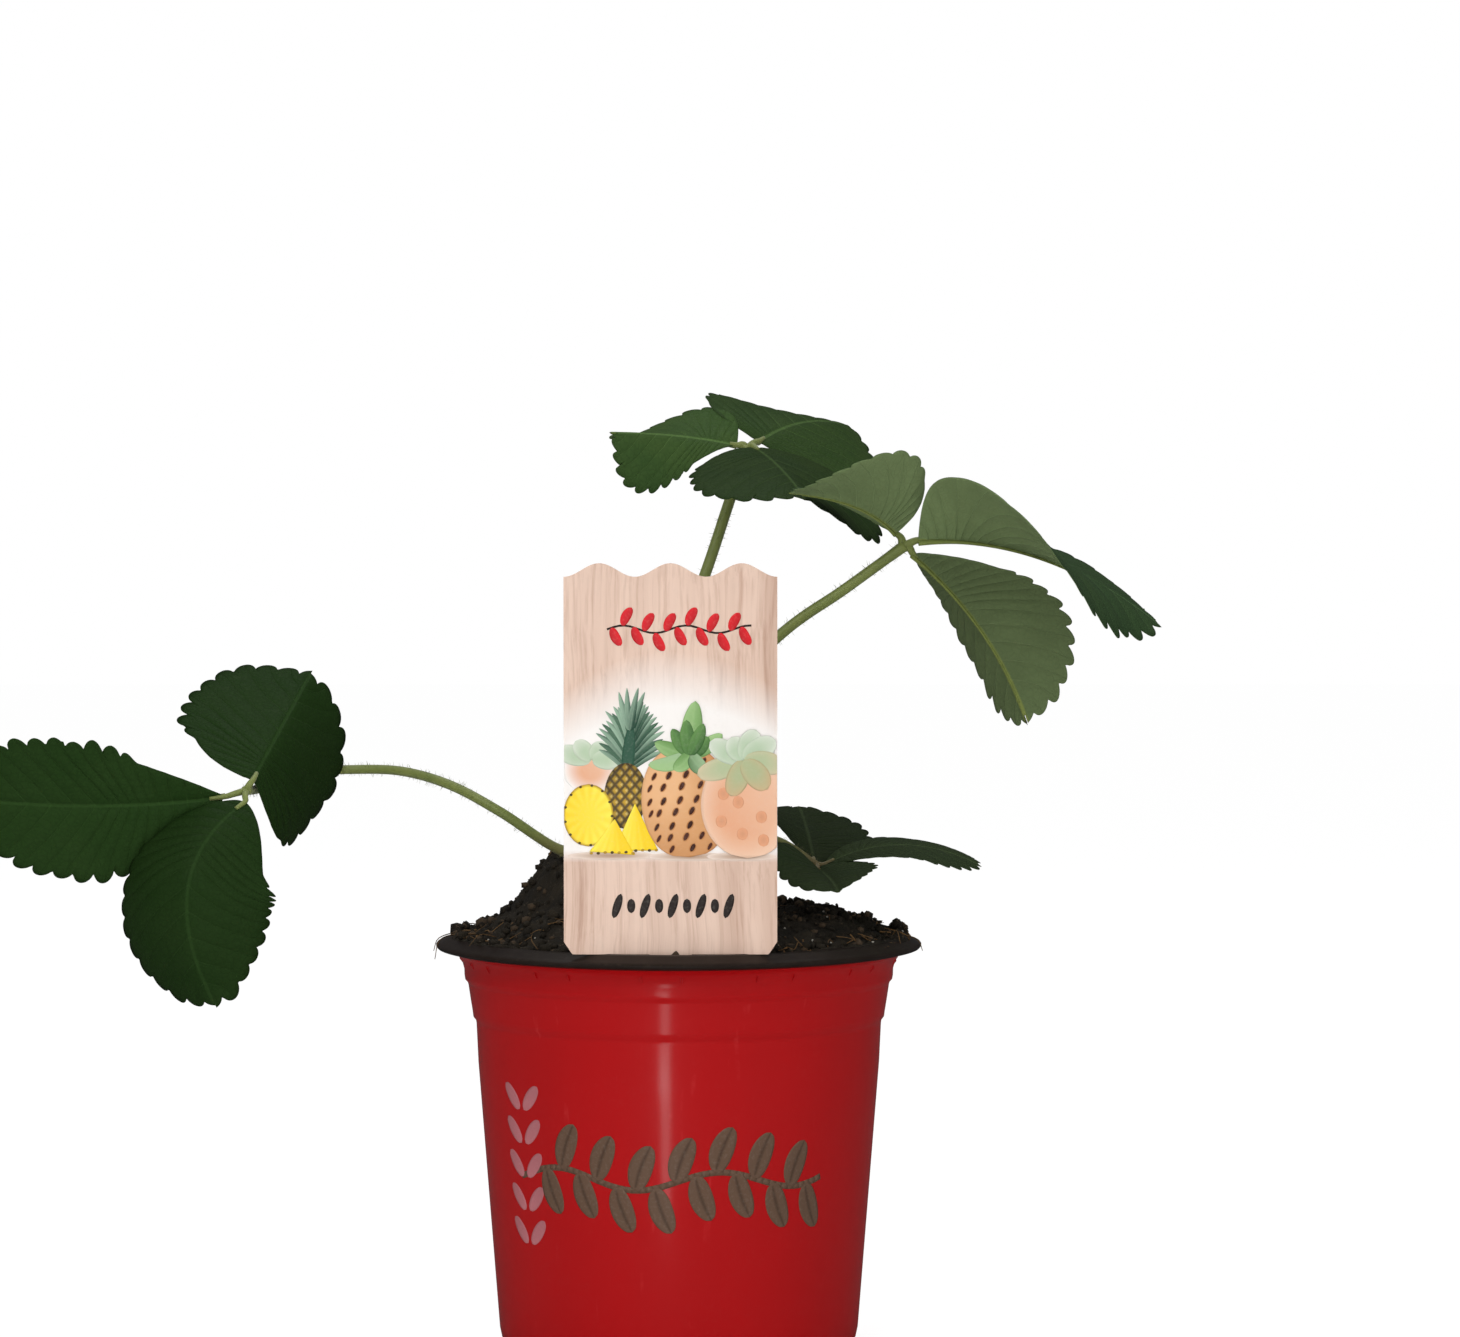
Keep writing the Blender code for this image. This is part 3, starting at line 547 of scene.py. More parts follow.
def foldedPoints(leaflet, x, y, side):
    # carries flat points onto the curved rib, folded up or down by the half's own angle
    base, middle, tip = np.array(leaflet["rib"], float)
    control = 2 * middle - (base + tip) / 2
    share = np.linspace(0, 1, 300)[:, None]
    curve = (1 - share) ** 2 * base + 2 * share * (1 - share) * control + share ** 2 * tip
    travelled = np.concatenate([[0], np.cumsum(np.linalg.norm(np.diff(curve, axis=0), axis=1))])
    length = travelled[-1]
    inside = np.clip(x, 0, 1)
    at = np.interp(inside * length, travelled, share[:, 0])[..., None]
    centre = (1 - at) ** 2 * base + 2 * at * (1 - at) * control + at ** 2 * tip
    along = unit(2 * (1 - at) * (control - base) + 2 * at * (tip - control))
    centre = centre + along * ((x - inside) * length)[..., None]
    baseFace, tipFace = unit(leaflet["face"])
    facing = baseFace * (1 - inside)[..., None] + tipFace * inside[..., None]
    facing = unit(facing - along * (facing * along).sum(axis=-1, keepdims=True))
    outward = np.cross(facing, along) * side
    atBase, atTip, cup = leaflet["foldLeft"] if side > 0 else leaflet["foldRight"]
    widest = max(leaflet["left"][2], leaflet["right"][2])
    fold = np.radians(atBase * (1 - inside) + atTip * inside + cup * y / widest)
    return (centre + outward * (y * length * np.cos(fold))[..., None]
            + facing * (y * length * np.sin(fold))[..., None]), length


def toothedMargin(shape, teeth, rows, seed, look):
    # the flat outline of one half: smooth near the base, then rounded teeth that lean to the tip
    baseFullness, tipFullness, width = shape
    angle = np.linspace(0, math.pi / 2, 3000)
    along = np.sin(angle) ** 2
    widest = baseFullness / (baseFullness + tipFullness)
    outward = width * (along / widest) ** baseFullness * ((1 - along) / (1 - widest)) ** tipFullness
    travelled = np.concatenate([[0], np.cumsum(np.hypot(np.diff(along), np.diff(outward)))])
    travelled /= travelled[-1]
    x, y = np.interp(rows, travelled, along), np.interp(rows, travelled, outward)
    slope = unit(np.stack([np.gradient(x), np.gradient(y)], axis=1))
    veins = (rows - leafSize["toothStart"]) / (1 - leafSize["toothStart"]) * (teeth + 0.5)
    inTooth = veins % 1
    chance = np.random.default_rng(seed)
    sizes = 1 + 0.25 * chance.uniform(-1, 1, teeth + 2)
    size, lean, roundness = look
    rise = np.sin(math.pi * inTooth ** (1 + 0.5 * lean)) ** roundness
    rise = rise * sizes[np.clip(veins.astype(int), 0, teeth + 1)] * size
    rise = np.where(veins > 0, rise, 0) * np.clip(veins / 1.2, 0, 1)
    push = np.stack([lean * slope[:, 0] - slope[:, 1], lean * slope[:, 1] + slope[:, 0]], axis=1)
    return x, y, push * rise[:, None], veins


def leafletSheet(leaflet, seed, look):
    # a grid of points: rows along the leaflet, columns from the left margin to the right one
    rows = np.linspace(0.004, 0.997, leafSize["rows"])
    halves = [toothedMargin(leaflet[half], leaflet["teeth"], rows, seed + way, look)
              for half, way in (("left", 0), ("right", 1))]
    slant = np.interp(rows, (0, 0.25, 0.6, 1), leafSize["slant"])
    sweep = sum(x - slant * y for x, y, _, _ in halves) / 2
    ribX = 0.1 * rows + 0.9 * np.maximum.accumulate(np.clip(sweep, 0, 1))
    share = np.linspace(0, 1, leafSize["columns"]) ** 0.9
    outer = np.clip((share - 0.62) / 0.38, 0, 1) ** 1.6
    sheets, maps = [], []
    for (marginX, marginY, push, veins), side in zip(halves, (1, -1)):
        bend = 0.05 * np.sin(math.pi * share)
        x = ribX[:, None] + (marginX - ribX)[:, None] * (share - bend) + push[:, :1] * outer
        y = np.maximum(marginY[:, None] * share + push[:, 1:] * outer, 0.001 * share)
        points, length = foldedPoints(leaflet, x, y, side)
        column = np.broadcast_to(share, y.shape)
        maps.append(np.stack([np.broadcast_to(veins[:, None], y.shape), column, y * length / 10], axis=-1))
        sheets.append(points)
    points = np.concatenate([sheets[0][:, ::-1], sheets[1][:, 1:]], axis=1)
    veinMap = np.concatenate([maps[0][:, ::-1], maps[1][:, 1:]], axis=1)
    return points, veinMap, length


def sheetNormals(points):
    down = np.gradient(points, axis=0)
    across = np.gradient(points, axis=1)
    normals = np.cross(across, down)
    normals[0], normals[-1] = normals[2], normals[-3]
    return unit(normals)


def ribTube(leaflet, length):
    # the raised midrib along the underside
    rows = np.linspace(0.0, 0.93, 40)
    path, _ = foldedPoints(leaflet, rows, np.zeros(40), 1)
    return path, np.interp(rows, (0, 0.15, 1), (0.62, 0.42, 0.12)) * (length / 55) ** 0.5


def buildLeaflet(name, leaflet, material, seed, look):
    points, veinMap, length = leafletSheet(leaflet, seed, look)
    rows, columns = points.shape[:2]
    normals = sheetNormals(points)
    faceNow = unit(leaflet["face"]).mean(axis=0)
    if np.dot(normals[rows // 2, columns // 2], faceNow) < 0:
        normals = -normals
    veins, column, reach = veinMap[..., 0], veinMap[..., 1], veinMap[..., 2] * 10
    # the blade is quilted between the side veins and pressed in along the rib
    between = np.abs(np.cos(math.pi * veins))
    fade = np.clip(reach / 3, 0, 1) * np.clip((1 - column) / 0.25, 0.25, 1)
    chance = np.random.default_rng(seed + 50)
    shift = chance.uniform(0, 40, 3)
    waves = np.array([noise.noise(Vector(point * 0.07 + shift)) for point in points.reshape(-1, 3)])
    waves = waves.reshape(rows, columns)
    height = leafSize["quilt"] * (between ** 0.7 - 0.6) * fade * (length / 55)
    height += -leafSize["ribPress"] * np.exp(-(reach / 1.1) ** 2) + 0.5 * waves * np.clip(reach / 6, 0, 1)
    onVein = np.clip(1 - np.abs((veins % 1) - 0.5) / 0.1, 0, 1) * np.clip(1.1 - column, 0, 1)
    half = leafSize["thickness"] / 2 * np.clip((1 - column) / 0.08, 0.35, 1)
    upper = points + normals * (height + half)[..., None]
    lower = points + normals * (height - half - leafSize["veinRelief"] * onVein)[..., None]
    count = rows * columns
    faces = sheetFaces(rows, columns)
    # the upper grid's faces must look along the normals
    sample = faces[(rows - 1) * (columns - 1) // 2][::-1]
    flat = upper.reshape(-1, 3)
    turning = np.cross(flat[sample[2]] - flat[sample[0]], flat[sample[3]] - flat[sample[1]])
    if np.dot(turning, normals.reshape(-1, 3)[sample[0]]) > 0:
        faces = faces[:, ::-1]
    path, radii = ribTube(leaflet, length)
    midNormals = normals[:, columns // 2]
    away = np.stack([np.interp(np.linspace(0, 0.93, 40), np.linspace(0, 1, rows), midNormals[:, axis])
                     for axis in range(3)], axis=1)
    path = path - away * (leafSize["thickness"] * 0.5 + leafSize["ribPress"] + radii * 0.55)[:, None]
    ribPoints, ribFaces = tube(path, radii, 8)
    allPoints = np.vstack([flat, lower.reshape(-1, 3), ribPoints])
    allFaces = [tuple(face) for face in faces] + [tuple(i + 2 * count for i in face) for face in ribFaces]
    ribMap = np.zeros((len(ribPoints), 3))
    ribMap[:, 0] = 0.25
    attributes = {"veinMap": np.vstack([veinMap.reshape(-1, 3), veinMap.reshape(-1, 3), ribMap]),
                  "underside": np.concatenate([np.zeros(count), np.ones(count + len(ribPoints))])}
    return makePiece(f"{name}_blade", allPoints, allFaces, [material], "leaf", [name], attributes=attributes)


def buildVeining():
    # reads how far a point lies from the rib and from the nearest side vein
    group, given, result = newGroup("veining", [("Width", "NodeSocketFloat", 0.06)],
                                    [("Rib", "NodeSocketFloat"), ("Vein", "NodeSocketFloat"),
                                     ("Net", "NodeSocketFloat"), ("Height", "NodeSocketFloat"),
                                     ("Edge", "NodeSocketFloat")])
    place = addNode(group, "ShaderNodeAttribute", attribute_name="veinMap").outputs["Vector"]
    split = addNode(group, "ShaderNodeSeparateXYZ", {0: place})
    veins, column, reach = split.outputs[0], split.outputs[1], split.outputs[2]
    objectPlace = addNode(group, "ShaderNodeTexCoord").outputs["Object"]
    wobble = addNode(group, "ShaderNodeTexNoise", {"Scale": 260.0, "Detail": 2.0,
                                                   "Vector": objectPlace}).outputs["Fac"]
    bent = maths(group, "ADD", veins, spread(group, wobble, 0, 1, -0.06, 0.06))
    phase = maths(group, "FRACT", maths(group, "ADD", bent, 20.0))
    off = maths(group, "ABSOLUTE", maths(group, "SUBTRACT", phase, 0.5))
    thin = maths(group, "MULTIPLY", given.outputs["Width"], spread(group, column, 0, 1, 1.3, 0.35))
    side = spread(group, off, 0.0, thin, 1.0, 0.0, interpolation_type="SMOOTHSTEP")
    rib = spread(group, reach, 0.02, 0.07, 1.0, 0.0, interpolation_type="SMOOTHSTEP")
    cells = addNode(group, "ShaderNodeTexVoronoi", {"Scale": 620.0, "Vector": objectPlace},
                    feature="DISTANCE_TO_EDGE")
    net = spread(group, cells.outputs["Distance"], 0.0, 0.16, 1.0, 0.0)
    edge = spread(group, column, 0.9, 1.0)
    deep = maths(group, "MAXIMUM", side, rib)
    deep = maths(group, "MAXIMUM", deep, maths(group, "MULTIPLY", net, 0.45))
    for title, value in (("Rib", rib), ("Vein", side), ("Net", net), ("Height", deep), ("Edge", edge)):
        group.links.new(value, result.inputs[title])
    return group


veining = buildVeining()


def leafMaterial(name, colours, tint):
    material, tree, shader = newMaterial(name, 0.55, 0.03)

    # tint is the leaflet's painted shading: the whole leaflet lighter or darker for how the light falls on it
    def withPaintedShading(key, gain=1.0, lift=0.0):
        return tuple(gain * tint * value + lift for value in colours[key])

    def overlaid(ground, part, amount, colour):
        # paints one part of the veining over the ground colour
        return mixColour(tree, maths(tree, "MULTIPLY", veinNode.outputs[part], amount), ground, colour)

    veinNode = useGroup(tree, veining, {"Width": 0.055})
    under = addNode(tree, "ShaderNodeAttribute", attribute_name="underside").outputs["Fac"]
    top = useGroup(tree, mottle, {"Colour": withPaintedShading("upper"), "Other": withPaintedShading("other"), "Scale": 70.0})
    low = useGroup(tree, mottle, {"Colour": withPaintedShading("under"), "Other": withPaintedShading("under", 0.85),
                                  "Scale": 90.0})
    lighter = withPaintedShading("other", 2.0, 0.003)
    share = colours["veins"]
    veined = overlaid(top.outputs["Colour"], "Vein", share, lighter)
    veined = overlaid(veined, "Rib", share * 1.4, lighter)
    veined = overlaid(veined, "Net", 0.15, withPaintedShading("upper", 0.5))
    veined = overlaid(veined, "Edge", 0.35, withPaintedShading("upper", 0.6))
    below = overlaid(low.outputs["Colour"], "Vein", 0.45, withPaintedShading("under", 1.35, 0.005))
    below = overlaid(below, "Rib", 0.8, stalkColour["pale"])
    below = overlaid(below, "Net", 0.2, withPaintedShading("under", 0.7))
    dusted = useGroup(tree, dust, {"Colour": mixColour(tree, under, veined, below),
                                   "Dust": (0.16, 0.16, 0.12), "Amount": 0.04})
    tree.links.new(dusted.outputs["Colour"], shader.inputs["Base Color"])
    rough = spread(tree, top.outputs["Value"], 0, 1, 0.46, 0.58)
    rough = maths(tree, "ADD", rough, maths(tree, "MULTIPLY", under, 0.2))
    tree.links.new(rough, shader.inputs["Roughness"])
    flip = spread(tree, under, 0, 1, -1.0, 1.0)
    addBump(tree, shader, maths(tree, "MULTIPLY", veinNode.outputs["Height"], flip), 0.12)
    return material


def stalkMaterial():
    material, tree, shader = newMaterial("stalkSkin", 0.5, 0.35, sheen=0.15)
    cloud = useGroup(tree, mottle, {"Colour": stalkColour["green"], "Other": stalkColour["pale"],
                                    "Scale": 120.0, "Stretch": 0.5})
    place = addNode(tree, "ShaderNodeTexCoord").outputs["Object"]
    height = addNode(tree, "ShaderNodeSeparateXYZ", {0: place}).outputs[2]
    low = spread(tree, height, 0.118, 0.128, 0.7, 0.0)
    colour = mixColour(tree, low, cloud.outputs["Colour"], stalkColour["red"])
    tree.links.new(colour, shader.inputs["Base Color"])
    lines = addNode(tree, "ShaderNodeTexNoise", {"Vector": place, "Scale": 700.0, "Detail": 2.0})
    addBump(tree, shader, lines.outputs["Fac"], 0.08)
    return material


# crown: a short scaly stock with main roots
hairSize = {"spacing": 0.22, "length": 1.1, "radii": (0.045, 0.035, 0.015)}
stipuleSize = {"rows": 12, "columns": 7, "width": 2.1, "length": 8.5, "thickness": 0.25}
crownSize = {"centre": (-12.0, 0.0, 117.0), "radius": 6.5, "rise": 8.0, "depth": 14.0,
             "roots": 5, "rootLength": 46.0, "rootRadius": 1.5}


def petiolePath(petiole, count):
    azimuth, rise = math.radians(petiole["azimuth"]), math.radians(petiole["rise"])
    spreadOut = crownSize["radius"] * math.cos(rise)
    start = np.array(crownSize["centre"]) + (spreadOut * math.cos(azimuth), spreadOut * math.sin(azimuth),
                                             crownSize["rise"] * math.sin(rise))
    normal = unit((math.cos(rise) * math.cos(azimuth) / crownSize["radius"],
                   math.cos(rise) * math.sin(azimuth) / crownSize["radius"],
                   math.sin(rise) / crownSize["rise"]))
    return smoothRoute([start + normal * 0.2, start + normal * 3.5] + petiole["route"], count)


def hairs(path, radii, seed):
    # fine soft hairs that stand out from a stalk
    chance = np.random.default_rng(seed)
    ahead = unit(np.gradient(path, axis=0))
    shells = []
    total = np.linalg.norm(np.diff(path, axis=0), axis=1).sum()
    for _ in range(int(total / hairSize["spacing"])):
        at = chance.uniform(0.02, 0.99) * (len(path) - 1)
        index = int(at)
        centre = path[index] + (path[min(index + 1, len(path) - 1)] - path[index]) * (at - index)
        out = unit(np.cross(ahead[index], chance.normal(size=3)))
        start = centre + out * radii[index] * 0.9
        lean = out + ahead[index] * chance.uniform(-0.3, 0.5)
        end = start + lean * hairSize["length"] * chance.uniform(0.5, 1.2)
        bend = (start + end) / 2 + chance.normal(size=3) * 0.08
        shells.append(tube([start, bend, end], hairSize["radii"], 3))
    return shells


def stipule(petiole, side):
    # a papery pointed scale that wraps the stalk's base
    path = petiolePath(petiole, 40)
    ahead = unit(path[3] - path[0])
    out = unit(np.cross(ahead, (0, 0, 1.0) if abs(ahead[2]) < 0.8 else (1.0, 0, 0))) * side
    lift = np.cross(out, ahead)
    rows, columns = stipuleSize["rows"], stipuleSize["columns"]
    grid = np.zeros((rows, columns, 3))
    for row in range(rows):
        share = row / (rows - 1)
        width = stipuleSize["width"] * (1 - share ** 2) ** 0.7 + 0.15
        centre = path[0] + ahead * (0.4 + stipuleSize["length"] * share) + out * (2.0 + 1.6 * share)
        for column in range(columns):
            turn = (column / (columns - 1) - 0.5) * 2
            grid[row, column] = centre + lift * turn * width - out * abs(turn) ** 2 * width * 0.7
    return thickSheet(grid, stipuleSize["thickness"])


def thickSheet(grid, thickness):
    # a grid of points thickened into a closed shell
    push = sheetNormals(grid) * thickness / 2
    points = np.vstack([(grid + push).reshape(-1, 3), (grid - push).reshape(-1, 3)])
    return points, [tuple(face) for face in sheetFaces(*grid.shape[:2])]


def fixFacing(piece):
    # turns every shell's faces outwards
    shell = bmesh.new()
    shell.from_mesh(piece.data)
    bmesh.ops.recalc_face_normals(shell, faces=shell.faces)
    shell.to_mesh(piece.data)
    shell.free()


def buildCrown():
    centre = np.array(crownSize["centre"])
    radius, rise, depth = crownSize["radius"], crownSize["rise"], crownSize["depth"]
    profile = [(0.05, -depth), (radius * 0.5, -depth), (radius * 0.95, -6), (radius, -3)]
    for angle in range(0, 90, 8):
        turn = math.radians(angle)
        profile.append((radius * math.cos(turn) * 0.98, rise * math.sin(turn) * 0.98))
    profile.append((0.05, rise * 0.98))
    points, faces = turnedShell(profile, 48, closed=False)
    faces += [tuple(range(48))[::-1], tuple(range(len(points) - 48, len(points)))]
    points = points + centre
    rough = np.array([noise.noise(Vector(point * 0.45)) for point in points])
    points = points - (points - centre) * (0.04 + 0.10 * rough[:, None] ** 2)
    shells = [(points, faces)]
    for index in range(crownSize["roots"]):
        turn = 2 * math.pi * (index + 0.3) / crownSize["roots"]
        outward = np.array((math.cos(turn), math.sin(turn), 0))
        start = centre + (0, 0, -9)
        path = smoothRoute([start, start + outward * 9 + (0, 0, -4), start + outward * 20 + (0, 0, -17),
                            start + outward * 25 + (0, 0, -crownSize["rootLength"])], 24)
        shells.append(tube(path, np.linspace(crownSize["rootRadius"], 0.6, 24), 8))
    bark = cloudyMaterial("crownBark", 0.8, 0.25, (0.075, 0.048, 0.024), (0.16, 0.10, 0.05), 260.0, 0.3)
    fixFacing(makePiece("crown_stock", *joinShells(shells), [bark], "crown", ["crown_and_roots"]))
    scales = [stipule(leaf["petiole"], side) for leaf in leaves.values() for side in (-1, 1)]
    papery = cloudyMaterial("paperyScale", 0.7, 0.2, (0.20, 0.11, 0.06), (0.30, 0.20, 0.11), 300.0, 0.1)
    fixFacing(makePiece("crown_scales", *joinShells(scales), [papery], "crown"))


def buildLeaves():
    stalk = stalkMaterial()
    for number, (leafName, leaf) in enumerate(leaves.items()):
        path = petiolePath(leaf["petiole"], 90)
        share = np.linspace(0, 1, len(path))
        radii = np.interp(share, (0, 0.12, 1), leaf["petiole"]["radii"])
        radii[-6:] *= np.linspace(1.0, 1.12, 6)
        shells = [tube(path, radii, 18, groove=0.12)]
        for key, leaflet in leaf.items():
            if key == "petiole":
                continue
            base, following = foldedPoints(leaflet, np.array([0.0, 0.06]), np.zeros(2), 1)[0]
            middle = (path[-1] + base) / 2 + (path[-1] - path[-4]) * 0.1
            stub = smoothRoute([path[-1] - (path[-1] - path[-3]) * 0.3, middle, base, following], 14)
            shells.append(tube(stub, np.linspace(radii[-1] * 0.78, 0.5, 14), 12))
            whole = f"{leafName}_{key}"
            material = leafMaterial(f"{whole}_skin", leafColour[leafName], leafPaintedShading[whole])
            look = toothLook.get(whole, toothLook[leafName])
            buildLeaflet(whole, leaflet, material, 10 * number + len(key), look)
        makePiece(f"{leafName}_stalk", *joinShells(shells), [stalk], "petiole", [f"{leafName}_petiole"])
        fuzz = hairs(path, radii, number)
        makePiece(f"{leafName}_hairs", *joinShells(fuzz), [stalk], "petiole")
    buildCrown()


buildLeaves()
print("leaves built")

# soil: lumpy peat with crumbs, fibres and grit
soilSize = {"edge": 99.4, "swell": 9.4, "mound": 14.0, "moundRadius": 21.4, "moundCentre": (-16.0, 0.0),
            "rings": 120, "spokes": 320, "reach": 54.0, "crumbs": 2200, "fibres": 120, "grit": 90}
soilColour = {"dark": (0.0065, 0.0051, 0.0031), "brown": (0.0206, 0.0148, 0.0077),
              "fibre": (0.1720, 0.0943, 0.0350), "grit": (0.42, 0.40, 0.35)}
# the lip's top: radius and height
lipProfile = ((52.5, 54.2, 55.2, 58.6, 60.0), (97.5, 101.0, 101.5, 99.9, 99.2))


def soilHeight(x, y):
    reach = min(math.hypot(x, y) / soilSize["reach"], 1)
    fromMound = math.hypot(x - soilSize["moundCentre"][0], y - soilSize["moundCentre"][1])
    fromCrown = math.hypot(x - crownSize["centre"][0], y - crownSize["centre"][1])
    return (soilSize["edge"] + soilSize["swell"] * (1 - reach ** 6)
            + soilSize["mound"] / (1 + math.exp((fromMound - soilSize["moundRadius"]) / 2.5))
            - 2.2 * math.exp(-(fromCrown / 9) ** 2))


def soilLumps(x, y):
    place = Vector((x, y, 3.0))
    coarse = noise.fractal(place * 0.11, 0.8, 2.0, 3)
    cell = noise.voronoi(place * 0.26)[0]
    small = noise.voronoi(place * 0.62)[0]
    return (1.3 * coarse + 1.5 * (0.45 - cell[0]) + 0.75 * (0.4 - small[0])
            + 0.35 * noise.fractal(place * 1.3, 0.9, 2.0, 3))


def soilReach(turn):
    # how far out the soil lies: inside the lip at the front, onto it elsewhere
    towardsFront = max(0.0, math.cos(turn + math.pi / 2))
    ragged = noise.fractal(Vector((3 * math.cos(turn), 3 * math.sin(turn), 5)), 0.8, 2.0, 4)
    return soilSize["reach"] + (1 - towardsFront ** 1.5) * min(3.9, max(-0.2, 2.6 + 2.6 * ragged))


def lipTop(reach):
    return float(np.interp(reach, *lipProfile))


def soilTop(x, y):
    reach = math.hypot(x, y)
    limit = soilReach(math.atan2(y, x))
    calm = min(1.0, max(0.0, (limit - reach) / 3.0))
    height = soilHeight(x, y) + soilLumps(x, y) * (0.25 + 0.75 * calm) - 0.6
    if reach > lipProfile[0][0] and limit > soilSize["reach"] + 0.3:
        over = lipTop(reach) + (0.3 + 1.5 * calm ** 0.5) * (0.7 + 0.5 * soilLumps(x, y))
        height = max(height, max(over, lipTop(reach) - 0.1) if calm > 0 else lipTop(reach) - 0.15)
    return height


def soilMaterial(name="peat", lighter=0.0):
    material, tree, shader = newMaterial(name, 0.9, 0.25)
    place = addNode(tree, "ShaderNodeTexCoord").outputs["Object"]
    cloud = useGroup(tree, mottle, {"Colour": soilColour["dark"], "Other": soilColour["brown"],
                                    "Scale": 170.0})
    specks = addNode(tree, "ShaderNodeTexNoise", {"Vector": place, "Scale": 1500.0, "Detail": 2.0})
    bright = spread(tree, specks.outputs["Fac"], 0.66, 0.74, 0.0, 0.6)
    colour = mixColour(tree, bright, cloud.outputs["Colour"], (0.10, 0.075, 0.05))
    if lighter:
        colour = mixColour(tree, lighter, colour, (0.085, 0.055, 0.032))
    tree.links.new(colour, shader.inputs["Base Color"])
    grain = addNode(tree, "ShaderNodeTexNoise", {"Vector": place, "Scale": 900.0, "Detail": 5.0,
                                                 "Roughness": 0.7})
    addBump(tree, shader, grain.outputs["Fac"], 0.7)
    return material


def crumb(centre, size, chance):
    # a lumpy pebble from a bent, stretched icosahedron
    gold = (1 + 5 ** 0.5) / 2
    corners = unit([(-1, gold, 0), (1, gold, 0), (-1, -gold, 0), (1, -gold, 0),
                    (0, -1, gold), (0, 1, gold), (0, -1, -gold), (0, 1, -gold),
                    (gold, 0, -1), (gold, 0, 1), (-gold, 0, -1), (-gold, 0, 1)])
    faces = [(0, 11, 5), (0, 5, 1), (0, 1, 7), (0, 7, 10), (0, 10, 11),
             (1, 5, 9), (5, 11, 4), (11, 10, 2), (10, 7, 6), (7, 1, 8),
             (3, 9, 4), (3, 4, 2), (3, 2, 6), (3, 6, 8), (3, 8, 9),
             (4, 9, 5), (2, 4, 11), (6, 2, 10), (8, 6, 7), (9, 8, 1)]
    corners = corners * chance.uniform(0.7, 1.25, (12, 1)) * chance.uniform(0.6, 1.2, 3) * size
    return corners + centre, faces


def scatter(chance, edgeShare=0.35):
    turn = chance.uniform(0, 2 * math.pi)
    reach = soilReach(turn) * (chance.uniform(0.9, 0.985) if chance.uniform() < edgeShare
                               else math.sqrt(chance.uniform()) * 0.95)
    x, y = reach * math.cos(turn), reach * math.sin(turn)
    return np.array((x, y, soilTop(x, y)))


def buildSoil():
    rings, spokes = soilSize["rings"], soilSize["spokes"]
    points = [(0, 0, soilTop(0, 0))]
    for ring in range(1, rings + 1):
        for spoke in range(spokes):
            turn = 2 * math.pi * (spoke + 0.5 * (ring % 2)) / spokes
            reach = soilReach(turn) * (ring / rings) ** 0.92
            x, y = reach * math.cos(turn), reach * math.sin(turn)
            points.append((x, y, soilTop(x, y)))
    faces = [(0, 1 + spoke, 1 + (spoke + 1) % spokes) for spoke in range(spokes)]
    for ring in range(rings - 1):
        low = 1 + ring * spokes
        for spoke in range(spokes):
            following = (spoke + 1) % spokes
            faces.append((low + spoke, low + spokes + spoke, low + spokes + following, low + following))
    last = 1 + (rings - 1) * spokes
    start = len(points)
    for radius, height in ((53.2, 96.2), (50.6, 92.0), (49.2, 81.0)):
        points += [(*turned(radius, 0, 2 * math.pi * spoke / spokes), height) for spoke in range(spokes)]
    for low in (last, start, start + spokes):
        high = start if low == last else low + spokes
        for spoke in range(spokes):
            following = (spoke + 1) % spokes
            faces.append((low + spoke, high + spoke, high + following, low + following))
    faces.append(tuple(range(start + 3 * spokes - 1, start + 2 * spokes - 1, -1)))
    peat = soilMaterial()
    fixFacing(makePiece("soil_bed", points, faces, [peat], "soil", ["soil"]))
    chance = np.random.default_rng(7)
    crumbs, browns = [], []
    for _ in range(soilSize["crumbs"]):
        place = scatter(chance)
        size = chance.uniform(0.35, 1.2) * (1.5 if chance.uniform() < 0.12 else 1)
        heap = browns if chance.uniform() < 0.2 else crumbs
        heap.append(crumb(place + (0, 0, size * 0.25), size, chance))
    makePiece("soil_crumbs", *joinShells(crumbs), [peat], "soil")
    makePiece("soil_bark_crumbs", *joinShells(browns), [soilMaterial("peatBark", 0.55)], "soil")
    grit = [crumb(scatter(chance) + (0, 0, 0.2), chance.uniform(0.2, 0.5), chance)
            for _ in range(soilSize["grit"])]
    stone = cloudyMaterial("paleGrit", 0.7, 0.4, soilColour["grit"], (0.22, 0.2, 0.17), 400.0)
    makePiece("soil_grit", *joinShells(grit), [stone], "soil")
    fibres = []
    for _ in range(soilSize["fibres"]):
        place = scatter(chance, 0.55)
        turn, length = chance.uniform(0, 2 * math.pi), chance.uniform(3, 11)
        ahead = np.array((math.cos(turn), math.sin(turn), 0))
        bend = chance.normal(size=3) * 0.8
        path = [place - ahead * length / 2, place + bend, place + ahead * length / 2]
        for point in path:
            reach = math.hypot(point[0], point[1])
            if reach > 57.5:
                point[:2] *= 57.5 / reach
            point[2] = soilTop(point[0], point[1]) + chance.uniform(0.1, 1.3)
        fibres.append(tube(smoothRoute(path, 8), np.linspace(0.16, 0.06, 8) * chance.uniform(0.7, 1.5), 5))
    # a few fibres hang over the lip
    for turn, drop in ((-176, 2.6), (-171, 4.2), (-8, 2.2)):
        way = np.array((math.cos(math.radians(turn)), math.sin(math.radians(turn)), 0))
        path = [way * 50 + (0, 0, soilTop(*(way * 50)[:2]) + 0.3), way * 55 + (0, 0, 102.2),
                way * 59.4 + (0, 0, 100.7), way * 60.6 + (0, 0, 100.2 - drop)]
        fibres.append(tube(smoothRoute(path, 16), np.linspace(0.2, 0.09, 16), 5))
    thread = cloudyMaterial("rootFibre", 0.8, 0.2, soilColour["fibre"], (0.045, 0.027, 0.014), 150.0)
    makePiece("soil_fibres", *joinShells(fibres), [thread], "soil")


buildSoil()
print("soil built")

